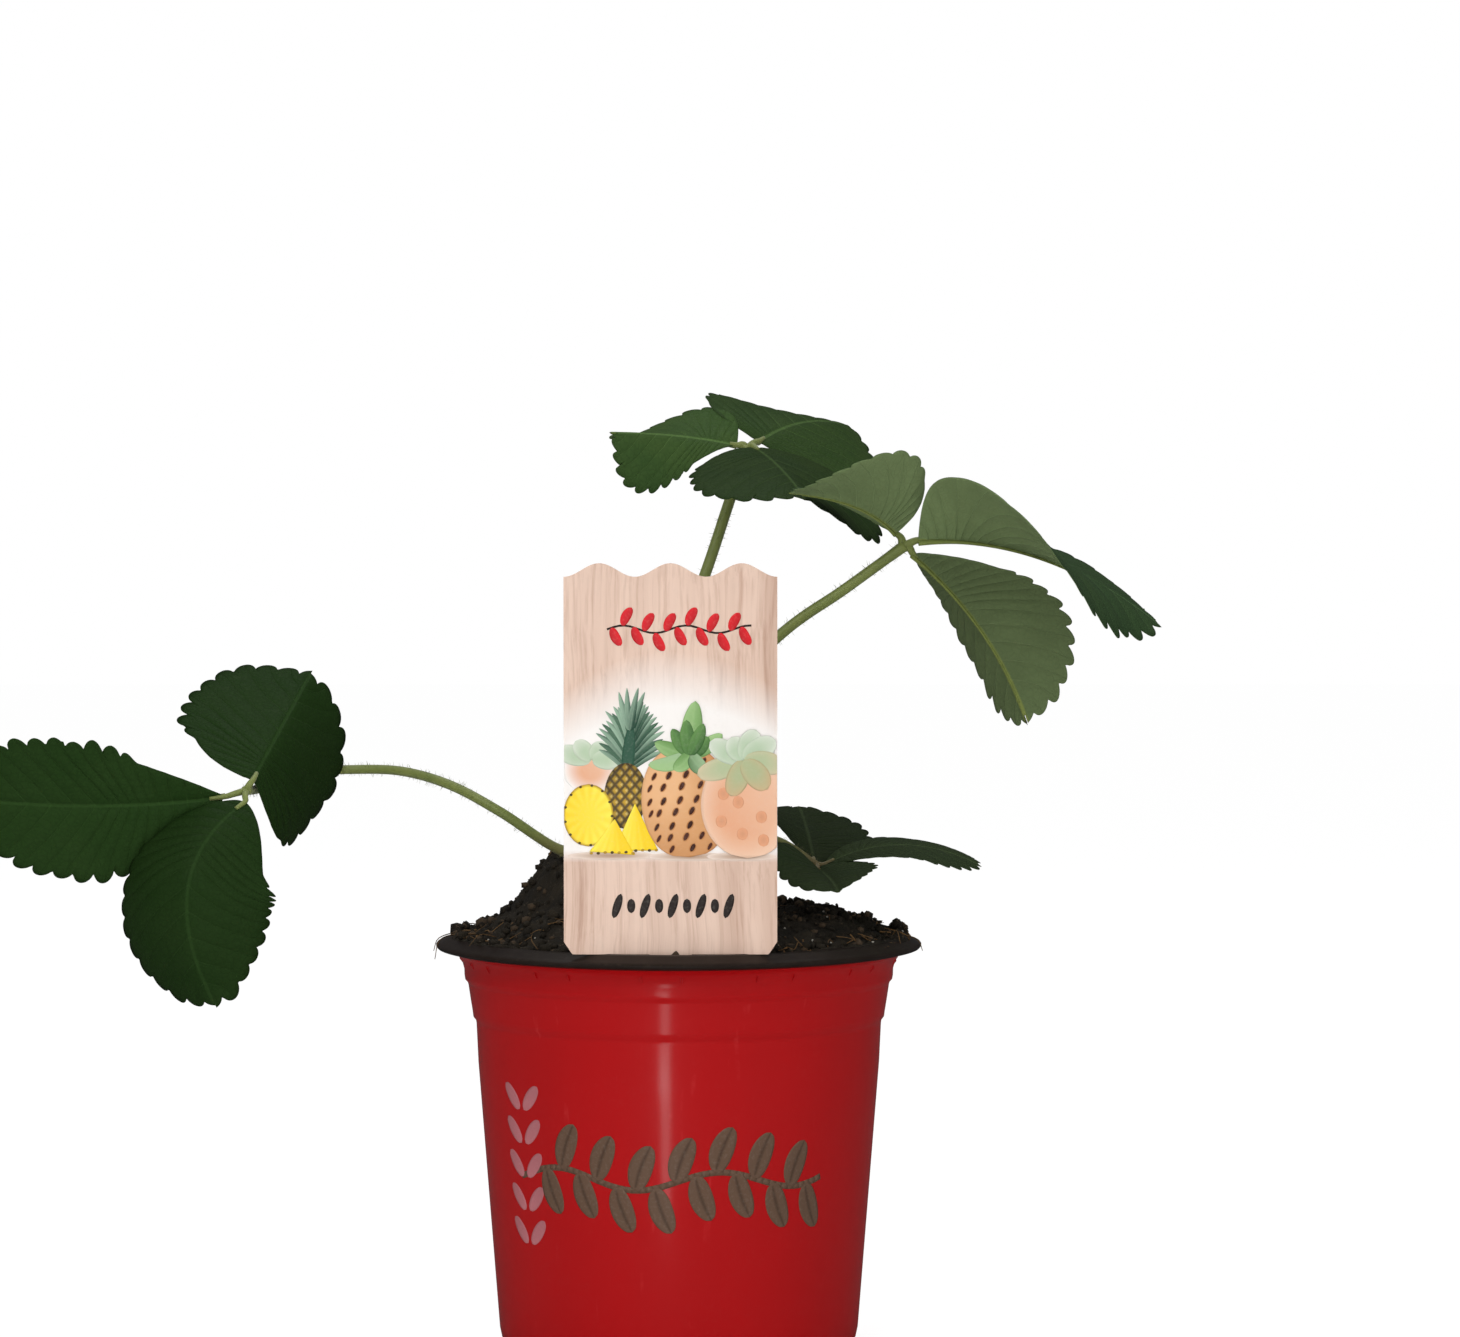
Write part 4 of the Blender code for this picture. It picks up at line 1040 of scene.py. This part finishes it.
# plant label
labelSize = {"width": 50.5, "centre": -1.4, "base": 101.4, "top": 190.8, "scallop": 3.2, "scallops": 3,
             "front": -52.8, "thickness": 0.6, "chamfer": (2.0, 3.0), "stakeWidth": 10.0,
             "bend": 98.5, "lean": 14.0, "tip": 58.0}


def labelEdge(x):
    half = labelSize["width"] / 2
    wave = 0.5 * (1 - math.cos(2 * math.pi * labelSize["scallops"] * (x + half) / labelSize["width"]))
    return labelSize["top"] + labelSize["scallop"] * wave


def buildLabelCard():
    half, stakeHalf = labelSize["width"] / 2, labelSize["stakeWidth"] / 2
    bottom, rise = labelSize["chamfer"]
    centre, middle = labelSize["centre"], labelSize["front"] + labelSize["thickness"] / 2
    columns = np.linspace(-half, half, 121)
    grid = []
    for share in np.linspace(0, 1, 60):
        row = []
        for x in columns:
            low = labelSize["base"] + rise * max(0, (abs(x) - (half - bottom)) / bottom)
            row.append((centre + x, middle, low + (labelEdge(x) - low) * share))
        grid.append(row)
    card = thickSheet(np.array(grid), labelSize["thickness"])
    stake = []
    for share in np.linspace(0, 1, 24):
        z = labelSize["base"] + 0.5 + (labelSize["tip"] - labelSize["base"] - 0.5) * share
        back = max(0.0, labelSize["bend"] - z) * math.tan(math.radians(labelSize["lean"]))
        wide = stakeHalf * min(1, (1.001 - share) / 0.12) ** 0.8
        stake.append([(centre + wide * side, middle + back, z) for side in np.linspace(-1, 1, 9)])
    return card, thickSheet(np.array(stake), labelSize["thickness"])


def buildWoodGrain():
    # upright boards with fine streaks, printed on the card
    group, given, result = newGroup("printedWood", [
        ("Pale", "NodeSocketColor", (0.80, 0.62, 0.53)), ("Streak", "NodeSocketColor", (0.52, 0.37, 0.30)),
        ("Scale", "NodeSocketFloat", 130.0)], [("Colour", "NodeSocketColor"), ("Value", "NodeSocketFloat")])
    place = addNode(group, "ShaderNodeTexCoord").outputs["Object"]
    bent = addNode(group, "ShaderNodeTexNoise", {"Vector": place, "Scale": 25.0, "Detail": 2.0})
    bent = addNode(group, "ShaderNodeVectorMath", {0: bent.outputs["Color"], "Scale": 0.006},
                   operation="SCALE").outputs[0]
    long = addNode(group, "ShaderNodeVectorMath", {0: place, 1: (1.0, 0.0, 0.045), 2: bent},
                   operation="MULTIPLY_ADD").outputs[0]
    fineScale = maths(group, "MULTIPLY", given.outputs["Scale"], 7.0)
    fine = addNode(group, "ShaderNodeTexNoise", {"Vector": long, "Scale": fineScale, "Detail": 4.0,
                                                 "Roughness": 0.65}).outputs["Fac"]
    wide = addNode(group, "ShaderNodeTexNoise", {"Vector": long, "Scale": given.outputs["Scale"],
                                                 "Detail": 4.0, "Roughness": 0.6}).outputs["Fac"]
    boards = maths(group, "MULTIPLY", spread(group, wide, 0.42, 0.68), 0.55)
    streaks = maths(group, "MULTIPLY", spread(group, fine, 0.48, 0.72), 0.6)
    value = maths(group, "ADD", boards, streaks, clamp=True)
    colour = mixColour(group, value, given.outputs["Pale"], given.outputs["Streak"])
    group.links.new(colour, result.inputs["Colour"])
    group.links.new(value, result.inputs["Value"])
    return group


labelColour = {"pale": (0.665, 0.490, 0.395), "streak": (0.42, 0.262, 0.192), "white": (0.80, 0.775, 0.75)}


def labelMaterial():
    material, tree, shader = newMaterial("labelPrint", 0.38, 0.25)
    grain = useGroup(tree, buildWoodGrain(), {"Pale": labelColour["pale"], "Streak": labelColour["streak"]})
    place = addNode(tree, "ShaderNodeTexCoord").outputs["Object"]
    parts = addNode(tree, "ShaderNodeSeparateXYZ", {0: place})
    height, depth = parts.outputs[2], parts.outputs[1]
    edge = addNode(tree, "ShaderNodeTexNoise", {"Vector": place, "Scale": 40.0}).outputs["Fac"]
    sideways = maths(tree, "MULTIPLY", parts.outputs[0], parts.outputs[0])
    swing = maths(tree, "MULTIPLY", sideways, 14.0)
    swing = maths(tree, "ADD", swing, spread(tree, edge, 0, 1, -0.002, 0.002))
    swing = maths(tree, "ADD", swing, height)
    above = spread(tree, height, 0.1232, 0.1262)
    below = spread(tree, swing, 0.160, 0.173, 1.0, 0.0)
    glow = maths(tree, "MULTIPLY", maths(tree, "MULTIPLY", above, below), 0.94)
    colour = mixColour(tree, glow, grain.outputs["Colour"], labelColour["white"])
    printed = spread(tree, depth, -0.0524, -0.0527)
    colour = mixColour(tree, printed, (0.78, 0.75, 0.70), colour)
    inSoil = spread(tree, height, 0.0985, 0.1010, 1.0, 0.0)
    colour = mixColour(tree, maths(tree, "MULTIPLY", inSoil, 0.5), colour, (0.10, 0.07, 0.045))
    dusted = useGroup(tree, dust, {"Colour": colour, "Dust": (0.42, 0.36, 0.30), "Amount": 0.25})
    tree.links.new(dusted.outputs["Colour"], shader.inputs["Base Color"])
    marks = useGroup(tree, scuffs, {"Scale": 260.0, "Amount": 1.0})
    tree.links.new(spread(tree, marks.outputs["Mask"], 0, 1, 0.36, 0.6), shader.inputs["Roughness"])
    addBump(tree, shader, marks.outputs["Mask"], 0.03)
    return material


# printed shapes: thin raised ink that carries its own colours
inkSize = {"step": 0.6, "thickness": 0.03, "sunk": 0.15}


def shape2d(base, tip, halfWidth, rows=13, columns=5, curl=0.0):
    # a flat shape from base to tip; halfWidth gives its half width at each share of the length
    base, tip = np.array(base, float), np.array(tip, float)
    share = np.linspace(0.0, 1.0, rows)[:, None]
    side = np.linspace(-1.0, 1.0, columns)[None, :]
    ahead = tip - base
    length = np.hypot(*ahead)
    ahead = ahead / length
    across = np.array((-ahead[1], ahead[0]))
    bend = curl * length * np.sin(math.pi * share) * 0.5 + curl * length * share ** 2 * 0.5
    out = halfWidth(share) * side + bend
    return base + ahead * (share * length)[..., None] + across * out[..., None], share, side


def leafWidth(width, belly=0.4):
    peak = belly ** belly * (1 - belly) ** (1 - belly)
    return lambda share: 0.02 + width * share ** belly * (1 - share) ** (1 - belly) / peak


def evenWidth(width):
    return lambda share: width + 0 * share


def ovalWidth(width):
    return lambda share: 0.02 + width * np.sqrt(np.clip(1 - (2 * share - 1) ** 2, 0, 1))


def ovalReach(share, side):
    across = side ** 2 * (1 - (2 * share - 1) ** 2)
    return np.sqrt((2 * share - 1) ** 2 + across)


def blendColours(first, second, share):
    share = np.clip(np.asarray(share, float), 0, 1)[..., None]
    return np.array(first) * (1 - share) + np.array(second) * share


def inkShell(flat, place, layer):
    # carries a flat grid onto its surface as a closed thin shell
    points = [[place(x, z, layer + side) for x, z in flat.reshape(-1, 2)]
              for side in (inkSize["thickness"], -inkSize["sunk"])]
    return np.array(points).reshape(-1, 3), [tuple(face) for face in sheetFaces(*flat.shape[:2])]


def printPiece(name, shapes, place, material, slot):
    # shapes: (flat grid, colours, layer)
    shells, colours = [], []
    for flat, paint, layer in shapes:
        shells.append(inkShell(flat, place, layer))
        paint = np.broadcast_to(np.asarray(paint, float), (*flat.shape[:2], 3)).reshape(-1, 3)
        colours += [paint, paint]
    piece = makePiece(name, *joinShells(shells), [material], slot, attributes={"paint": np.vstack(colours)})
    fixFacing(piece)
    return piece


def inkMaterial(name, roughness, specular, wear):
    material, tree, shader = newMaterial(name, roughness, specular)
    paint = addNode(tree, "ShaderNodeAttribute", attribute_name="paint").outputs["Color"]
    place = addNode(tree, "ShaderNodeTexCoord").outputs["Object"]
    speck = addNode(tree, "ShaderNodeTexNoise", {"Vector": place, "Scale": 1400.0, "Detail": 3.0})
    worn = spread(tree, speck.outputs["Fac"], 0.5, 0.8, 0.0, wear)
    faded = mixColour(tree, worn, paint, (0.62, 0.55, 0.48))
    tree.links.new(faded, shader.inputs["Base Color"])
    marks = useGroup(tree, scuffs, {"Scale": 260.0, "Amount": 1.0})
    rough = spread(tree, marks.outputs["Mask"], 0, 1, roughness, roughness + 0.2)
    tree.links.new(rough, shader.inputs["Roughness"])
    addBump(tree, shader, marks.outputs["Mask"], 0.03)
    return material


pictureColour = {
    "glow": (0.80, 0.775, 0.75), "peach": (0.52, 0.245, 0.090), "peachPale": (0.70, 0.40, 0.20),
    "peachDeep": (0.40, 0.17, 0.06), "rose": (0.66, 0.31, 0.17), "rosePale": (0.73, 0.49, 0.35),
    "seed": (0.045, 0.012, 0.006), "green": (0.12, 0.26, 0.07),
    "greenPale": (0.30, 0.47, 0.20), "greenDeep": (0.040, 0.115, 0.030), "greenSoft": (0.29, 0.43, 0.24),
    "yellow": (0.80, 0.54, 0.010), "yellowPale": (0.86, 0.72, 0.08), "yellowDeep": (0.40, 0.24, 0.02),
    "skin": (0.075, 0.048, 0.014), "crown": (0.075, 0.155, 0.095), "crownPale": (0.27, 0.40, 0.29),
    "crownDeep": (0.018, 0.060, 0.036), "ornament": (0.50, 0.008, 0.014), "dark": (0.020, 0.014, 0.012)}


def onLabel(x, z, layer):
    return (labelSize["centre"] + x, labelSize["front"] - layer * inkSize["step"], z)


def fruitPrints():
    tint, layer, shapes = pictureColour, 0.01, []
    chance = np.random.default_rng(3)
    edge = labelSize["width"] / 2 - 0.1

    def add(grid, paint):
        # what would cross the card's edge is pressed back to it
        over = np.abs(grid[..., 0]) - edge
        grid[..., 0] -= np.sign(grid[..., 0]) * np.clip(over, 0, None) * 0.99
        shapes.append((grid, paint, layer))

    def softBerry(base, tip, width, colours, around, start):
        grid, share, side = shape2d(base, tip, ovalWidth(width), 29, 25)
        lit = blendColours(tint[colours[0]], tint[colours[1]], 0.35 + 0.35 * side + 0.5 * (1 - share))
        fade = np.clip((ovalReach(share, side) - start) / (1 - start), 0, 1)[..., None] ** 1.3
        add(grid, lit * (1 - fade) + np.array(tint[around]) * fade)

    def softLeaf(base, tip, width, colour, around, curl=0.0):
        grid, share, side = shape2d(base, tip, leafWidth(width, 0.5), 17, 11, curl)
        fade = np.clip(0.2 + np.abs(side) ** 2 * 0.2 + np.clip(share - 0.5, 0, 1) * 0.6, 0, 1)
        add(grid, blendColours(tint[colour], tint[around], fade))

    def plainLeaf(base, tip, width, dark, light, curl=0.0, belly=0.42):
        grid, share, side = shape2d(base, tip, leafWidth(width, belly), 19, 9, curl)
        vein = np.exp(-(side / 0.14) ** 2)[..., None] * 0.35 * (share > 0.05)[..., None]
        lightness = 0.25 + 0.35 * side + 0.5 * share + chance.uniform(-0.2, 0.2)
        paint = blendColours(tint[dark], tint[light], lightness)
        add(grid, paint * (1 - vein) + np.array(tint[light]) * vein)

    # far left fruit, out of focus, under soft leaves
    softBerry((-19.0, 139.5), (-18.6, 150.5), 6.6, ("rosePale", "rose"), "glow", 0.35)
    layer = 0.02
    for tip, width in (((-27.0, 149.6), 2.4), ((-22.5, 152.0), 2.2), ((-15.0, 151.4), 2.4),
                       ((-11.0, 147.6), 2.4)):
        softLeaf((-18.6, 147.6), tip, width, "greenSoft", "glow")
        layer += 0.01
    # pineapple: pointed leaves all the way up the crown, then the diamond-patterned body
    for level in range(12):
        layer += 0.006
        rise = level / 11
        for way in (-1, 1):
            foot = (-10.0 + 0.7 * rise + 0.35 * way, 145.4 + 9.5 * rise)
            angle = math.radians(way * (64 - 42 * rise) + 4)
            tall = 6.2 + 3.6 * math.sin(math.pi * (0.25 + 0.75 * rise)) + chance.uniform(-0.9, 0.9)
            tip = (foot[0] + tall * math.sin(angle), foot[1] + tall * math.cos(angle))
            light = "crownPale" if (level + way) % 3 else "crown"
            plainLeaf(foot, tip, 0.85, "crownDeep", light, way * 0.16, 0.3)
    add(shape2d((-10.3, 144.6), (-9.2, 157.0), leafWidth(1.5, 0.3), 15, 7)[0],
        np.array(tint["crownDeep"]) * 1.4)
    for turn, tall in ((-20, 9.6), (17, 9.8), (-8, 10.2), (7, 10.4)):
        angle = math.radians(turn + 5)
        layer += 0.006
        plainLeaf((-9.5, 154.4), (-9.5 + tall * math.sin(angle), 154.4 + tall * math.cos(angle)), 0.8,
                  "crownDeep", "crownPale", 0.05, 0.3)
    layer = 0.17
    grid, share, side = shape2d((-10.9, 131.2), (-10.4, 146.8), ovalWidth(5.0), 71, 49)
    first = (grid[..., 0] * 0.42 + grid[..., 1] * 0.36) % 1
    second = (grid[..., 0] * 0.42 - grid[..., 1] * 0.36) % 1
    gap = np.minimum(np.abs(first - 0.5), np.abs(second - 0.5))
    eye = blendColours(tint["skin"], tint["yellowDeep"], np.clip((gap - 0.10) / 0.2, 0, 1))
    bright = np.clip((0.42 - np.hypot(first, second)) / 0.2, 0, 1)[..., None]
    eye = eye * (1 - 0.7 * bright) + np.array((0.50, 0.40, 0.14)) * 0.7 * bright
    add(grid, eye * (1.2 - 0.7 * ovalReach(share, side) ** 3)[..., None])
    # round slice at the left and two wedges
    layer = 0.19
    grid, share, side = shape2d((-19.4, 127.0), (-19.4, 141.8), ovalWidth(5.9), 41, 41)
    reach = ovalReach(share, side)
    spoke = np.arctan2(side * np.sqrt(np.clip(1 - (2 * share - 1) ** 2, 0, 1)), 2 * share - 1)
    flesh = blendColours(tint["yellow"], tint["yellowPale"],
                         0.5 + 0.22 * np.sin(spoke * 15) * np.clip(reach * 1.6 - 0.4, 0, 1) - 0.3 * side)
    peel = np.clip((reach - 0.9) / 0.08, 0, 1)[..., None]
    add(grid, flesh * (1 - peel) + np.array(tint["yellowDeep"]) * peel)
    layer = 0.205
    for step in range(13):
        turn = 2 * math.pi * (step + 0.3) / 13
        at = np.array((-19.4 + 5.6 * math.sin(turn), 134.4 + 7.1 * math.cos(turn)))
        add(shape2d(at - (0.35, 0.1), at + (0.35, 0.1), ovalWidth(0.28), 7, 5)[0], tint["skin"])
    for foot, tip, width in (((-8.2, 126.0), (-8.4, 137.0), 5.2), ((-13.8, 125.4), (-13.2, 133.4), 5.3)):
        layer += 0.02
        grid, share, side = shape2d(foot, tip, lambda share: width * (1.02 - share), 21, 15)
        add(grid, blendColours(tint["yellow"], tint["yellowPale"],
                               0.35 + 0.5 * side + 0.2 * np.sin(side * 17 + share) * (1 - share)))
        layer += 0.01
        for step in range(7):
            at = np.array(foot) + ((step - 3) / 3 * width * 0.93, chance.uniform(-0.1, 0.25))
            add(shape2d(at - (0.42, 0), at + (0.42, 0.1), ovalWidth(0.3), 7, 5)[0],
                tint["skin" if step % 2 else "yellowDeep"])
    # main berry with its seeds
    layer = 0.27
    grid, share, side = shape2d((4.6, 124.5), (2.6, 150.6),
                                lambda share: 0.05 + 10.4 * share ** 0.4 * (1 - share) ** 0.4 / 0.574, 49, 33)
    glow = np.exp(-((side - 0.45) / 0.75) ** 2 - ((share - 0.72) / 0.42) ** 2)
    body = blendColours(tint["peach"], tint["peachPale"], glow + 0.15)
    rim = np.clip((-side - 0.55) / 0.5, 0, 1) ** 1.5 + 0.9 * np.clip((0.2 - share) / 0.25, 0, 1)
    add(grid, body * (1 - 0.5 * rim[..., None]) + np.array(tint["peachDeep"]) * 0.5 * rim[..., None])
    berryGrid = grid
    layer = 0.295
    for row in range(8):
        across = (3, 5, 5, 6, 6, 5, 5, 3)[row]
        for step in range(across):
            place = ((step + 0.5 + 0.25 * (row % 2)) / (across + 0.25)) * 2 - 1
            at = berryGrid[int(4 + row * 5.4), int(round((math.sin(place * 1.3) * 0.95 + 1) / 2 * 32))]
            wide = 0.40 * math.cos(place * 1.15) + 0.08
            lean = np.array((0.42, 0.80)) * (0.85 + 0.3 * math.cos(place))
            add(shape2d(at - lean * 1.2, at + lean * 1.2, ovalWidth(wide * 1.55), 9, 7)[0],
                np.array(tint["peachDeep"]) * 1.15)
            shapes.append((shape2d(at - lean, at + lean, leafWidth(wide, 0.55), 11, 5)[0],
                           np.array(tint["seed"]) * chance.uniform(0.8, 1.6), layer + 0.02))
    layer = 0.33
    for tip, width, dark, light, curl in (
            ((-3.6, 152.0), 1.9, "green", "greenPale", 0.1),
            ((-5.4, 147.4), 1.8, "greenSoft", "greenPale", 0.22),
            ((0.6, 155.0), 1.7, "greenDeep", "green", 0.08),
            ((12.0, 154.0), 1.9, "green", "greenPale", -0.1),
            ((9.0, 153.0), 1.9, "greenDeep", "green", -0.05),
            ((0.4, 145.6), 1.8, "green", "greenPale", 0.2),
            ((9.2, 144.6), 1.9, "greenDeep", "greenSoft", -0.15),
            ((6.2, 161.4), 2.5, "green", "greenPale", 0.04),
            ((4.0, 157.0), 1.8, "greenDeep", "green", 0.06),
            ((7.6, 156.2), 1.6, "greenDeep", "green", -0.06)):
        layer += 0.012
        plainLeaf((4.6, 148.6), tip, width, dark, light, curl)
    # near right berry, out of focus, runs off the card's edge
    layer = 0.47
    softBerry((18.2, 124.2), (18.6, 149.8), 11.2, ("rosePale", "rose"), "rosePale", 0.55)
    layer = 0.48
    for x, z in ((12.0, 133.0), (17.0, 130.0), (16.0, 137.5), (21.5, 134.0), (22.0, 128.5), (12.5, 139.5)):
        grid, share, side = shape2d((x, z - 1.5), (x, z + 1.5), ovalWidth(1.3), 13, 9)
        add(grid, blendColours(np.array(tint["rose"]) * 0.86, tint["rose"], ovalReach(share, side)))
        layer += 0.002
    layer = 0.50
    for tip, width, around in (
            ((6.2, 144.2), 2.6, "rosePale"), ((9.4, 152.0), 2.6, "glow"), ((14.6, 153.0), 2.6, "glow"),
            ((20.4, 154.6), 2.6, "glow"), ((25.0, 152.0), 2.8, "glow"), ((27.0, 145.6), 2.8, "rosePale"),
            ((14.0, 139.0), 2.6, "rose"), ((22.8, 140.4), 2.9, "rose")):
        softLeaf((17.2, 147.4), tip, width, "greenSoft", around, 0.05)
        layer += 0.012
    # soft shadow under the fruit
    layer = 0.005
    for foot, tip in (((-24.4, 124.8), (-3.0, 124.8)), ((-5.5, 124.6), (14.5, 124.6)),
                      ((8.5, 124.6), (25.1, 124.6))):
        grid, share, side = shape2d(foot, tip, ovalWidth(1.0), 31, 9)
        fade = np.clip(1 - ovalReach(share, side) ** 1.5, 0, 1)
        add(grid, blendColours((0.72, 0.60, 0.52), (0.38, 0.25, 0.17), fade))
        layer += 0.003
    return shapes


def ornamentPrints():
    # a plain leafy sprig above the picture and a row of lozenges below it
    tint, shapes = pictureColour, []
    red = np.array(tint["ornament"])

    def stem(x):
        return 178.4 + 0.9 * math.sin(x * 0.42)

    for step in range(24):
        x = -15.0 + step * 1.42
        grid = shape2d((x, stem(x)), (x + 1.46, stem(x + 1.42)), evenWidth(0.24), 3, 3)[0]
        shapes.append((grid, tint["dark"], 0.02))
    for step in range(13):
        x = -14.0 + step * 2.55
        way = 1 if step % 2 else -1
        grid, share, side = shape2d((x, stem(x)), (x + 2.5, stem(x) + way * 4.1), leafWidth(1.15, 0.5),
                                    17, 7, 0.10 * way)
        shapes.append((grid, blendColours(red * 0.85, red * 1.25, 0.5 + 0.5 * side + 0 * share), 0.05))
    for step in range(9):
        x = -12.6 + step * 3.3
        tall, lean = (1.7, 0.0) if step % 2 else (2.9, 0.9)
        grid = shape2d((x - lean, 112.9 - tall), (x + lean, 112.9 + tall), leafWidth(0.95, 0.5), 13, 5)[0]
        shapes.append((grid, tint["dark"], 0.04))
    return shapes


def buildLabel():
    card, stake = buildLabelCard()
    fixFacing(makePiece("label_card", *joinShells([card, stake]), [labelMaterial()], "label", ["plant_label"],
                        sharpAngle=40))
    ink = inkMaterial("labelInk", 0.38, 0.2, 0.08)
    printPiece("label_fruit_print", fruitPrints(), onLabel, ink, "label")
    printPiece("label_ornament_print", ornamentPrints(), onLabel, ink, "label")


# sprig printed round the pot
sprigSize = {"low": 36.0, "high": 57.0, "startAngle": -142.0, "endAngle": -44.0, "leaves": 15}
sprigColour = {"brown": (0.105, 0.062, 0.040), "rose": (0.40, 0.135, 0.15)}


def onPot(angle, z, layer):
    # angle in degrees round the pot; the wall's radius follows the height
    wall = potWall()
    radius = np.interp(z, [point[1] for point in wall], [point[0] for point in wall]) + layer
    turn = math.radians(angle)
    return (radius * math.cos(turn), radius * math.sin(turn), z)


def potPrints():
    perDegree = math.radians(48.0)   # mm along the wall for one degree
    shapes, brown, rose = [], np.array(sprigColour["brown"]), np.array(sprigColour["rose"])

    def add(grid, paint, layer):
        grid = grid.copy()
        grid[..., 0] = grid[..., 0] / perDegree - 90
        shapes.append((grid, paint, layer))

    def vine(x):
        return (sprigSize["low"] + sprigSize["high"]) / 2 + 2.2 * math.sin(x * 0.155)

    low, high = [(sprigSize[key] + 90) * perDegree for key in ("startAngle", "endAngle")]
    steps = 48
    for step in range(steps):
        x, following = low + (high - low) * step / steps, low + (high - low) * (step + 1) / steps + 0.1
        add(shape2d((x, vine(x)), (following, vine(following)), evenWidth(0.75), 3, 3)[0], brown, 0.02)
    for step in range(sprigSize["leaves"]):
        x = low + 9 + (high - low - 14) * step / (sprigSize["leaves"] - 1)
        way = 1 if step % 2 else -1
        grid, share, side = shape2d((x, vine(x)), (x + 4.6, vine(x) + way * 10.6), leafWidth(2.9, 0.48),
                                    25, 9, 0.10 * way)
        vein = (np.abs(side) < 0.1) & (share > 0.08)
        add(grid, blendColours(brown, brown * 0.55, vein * 1.0), 0.05)
    for row in range(5):
        for way in (-1, 1):
            foot = (low + 1.5 + way * 0.8, 29.0 + row * 8.2)
            tip = (foot[0] + way * 5.2, foot[1] + 6.0)
            grid, share, side = shape2d(foot, tip, ovalWidth(1.7), 17, 7)
            add(grid, blendColours(rose, rose * 0.8, share + 0 * side), 0.03)
    return shapes


printPiece("pot_sprig_print", potPrints(), onPot, inkMaterial("potInk", 0.42, 0.12, 0.05), "pot")
buildLabel()
print("prints built")

# stage, lights and camera
stageLook = {"floor": 0.86, "soft": 0.46, "gloss": 0.10, "dimFloor": 0.10, "glow": 1.1, "glowShare": 0.85}
# where each lamp stands, what it faces, its size and its power
lampLook = {
    "keyLamp": ((-0.45, -0.95, 0.95), (0, 0, 0.13), (0.6, 0.6), 6.6),
    "fillLamp": ((0.9, -0.8, 0.45), (0, 0, 0.12), (0.8, 0.8), 3.0),
    "topLamp": ((0.0, 0.3, 1.1), (0, 0, 0.15), (0.7, 0.7), 3.5),
    "lowStripLamp": ((-0.0165, -0.16, 0.0235), (-0.0165, 0, 0.0235), (0.0125, 0.043), 0.008),
    "stripLamp": ((-0.038, -0.30, 0.15), (0, 0, 0.15), (0.03, 0.3), 0.165),
}
cameraLook = {"place": (0.01267, -1.2, 0.2122), "tilt": 2.15, "lens": 119.84, "sensor": 36.0}


def buildStage():
    floor, tree, shader = newMaterial("paleFloor", 0.9, 0.1)
    glow = addNode(tree, "ShaderNodeEmission", {"Color": (1.0, 1.0, 1.0), "Strength": stageLook["glow"]})
    rays = addNode(tree, "ShaderNodeLightPath")
    tone = mixColour(tree, rays.outputs["Is Glossy Ray"], (stageLook["floor"],) * 3,
                     (stageLook["dimFloor"],) * 3)
    tree.links.new(tone, shader.inputs["Base Color"])
    blend = addNode(tree, "ShaderNodeMixShader",
                    {0: maths(tree, "MULTIPLY", rays.outputs["Is Camera Ray"], stageLook["glowShare"])})
    tree.links.new(shader.outputs[0], blend.inputs[1])
    tree.links.new(glow.outputs[0], blend.inputs[2])
    tree.links.new(blend.outputs[0], tree.nodes["Material Output"].inputs["Surface"])
    mesh = bpy.data.meshes.new("studio_floor")
    mesh.from_pydata([(-4, -4, 0), (4, -4, 0), (4, 4, 0), (-4, 4, 0)], [], [(0, 1, 2, 3)])
    mesh.materials.append(floor)
    ground = bpy.data.objects.new("studio_floor", mesh)
    bpy.context.scene.collection.objects.link(ground)
    world = bpy.data.worlds.new("studio")
    world.use_nodes = True
    tree = world.node_tree
    background = tree.nodes["Background"]
    path = addNode(tree, "ShaderNodeLightPath")
    around = mixColour(tree, path.outputs["Is Glossy Ray"], (stageLook["soft"],) * 3,
                       (stageLook["gloss"],) * 3)
    around = mixColour(tree, path.outputs["Is Camera Ray"], around, (1.0, 1.0, 1.0))
    tree.links.new(around, background.inputs["Color"])
    background.inputs["Strength"].default_value = 1.0
    bpy.context.scene.world = world


def addLamp(name, place, target, size, power):
    lamp = bpy.data.lights.new(name, "AREA")
    lamp.shape, lamp.size, lamp.size_y = "RECTANGLE", size[0], size[1]
    lamp.energy = power
    holder = bpy.data.objects.new(name, lamp)
    holder.location = place
    holder.rotation_euler = (Vector(target) - Vector(place)).to_track_quat("-Z", "Y").to_euler()
    holder.visible_camera = False
    bpy.context.scene.collection.objects.link(holder)


def placeCamera():
    camera = bpy.data.cameras.new("frontView")
    camera.sensor_width, camera.lens = cameraLook["sensor"], cameraLook["lens"]
    camera.clip_start, camera.clip_end = 0.02, 50.0
    holder = bpy.data.objects.new("frontView", camera)
    holder.location = cameraLook["place"]
    holder.rotation_euler = (math.radians(90 - cameraLook["tilt"]), 0, 0)
    bpy.context.scene.collection.objects.link(holder)
    bpy.context.scene.camera = holder


buildStage()
for name, look in lampLook.items():
    addLamp(name, *look)
placeCamera()
bpy.context.scene.view_settings.view_transform = "Standard"
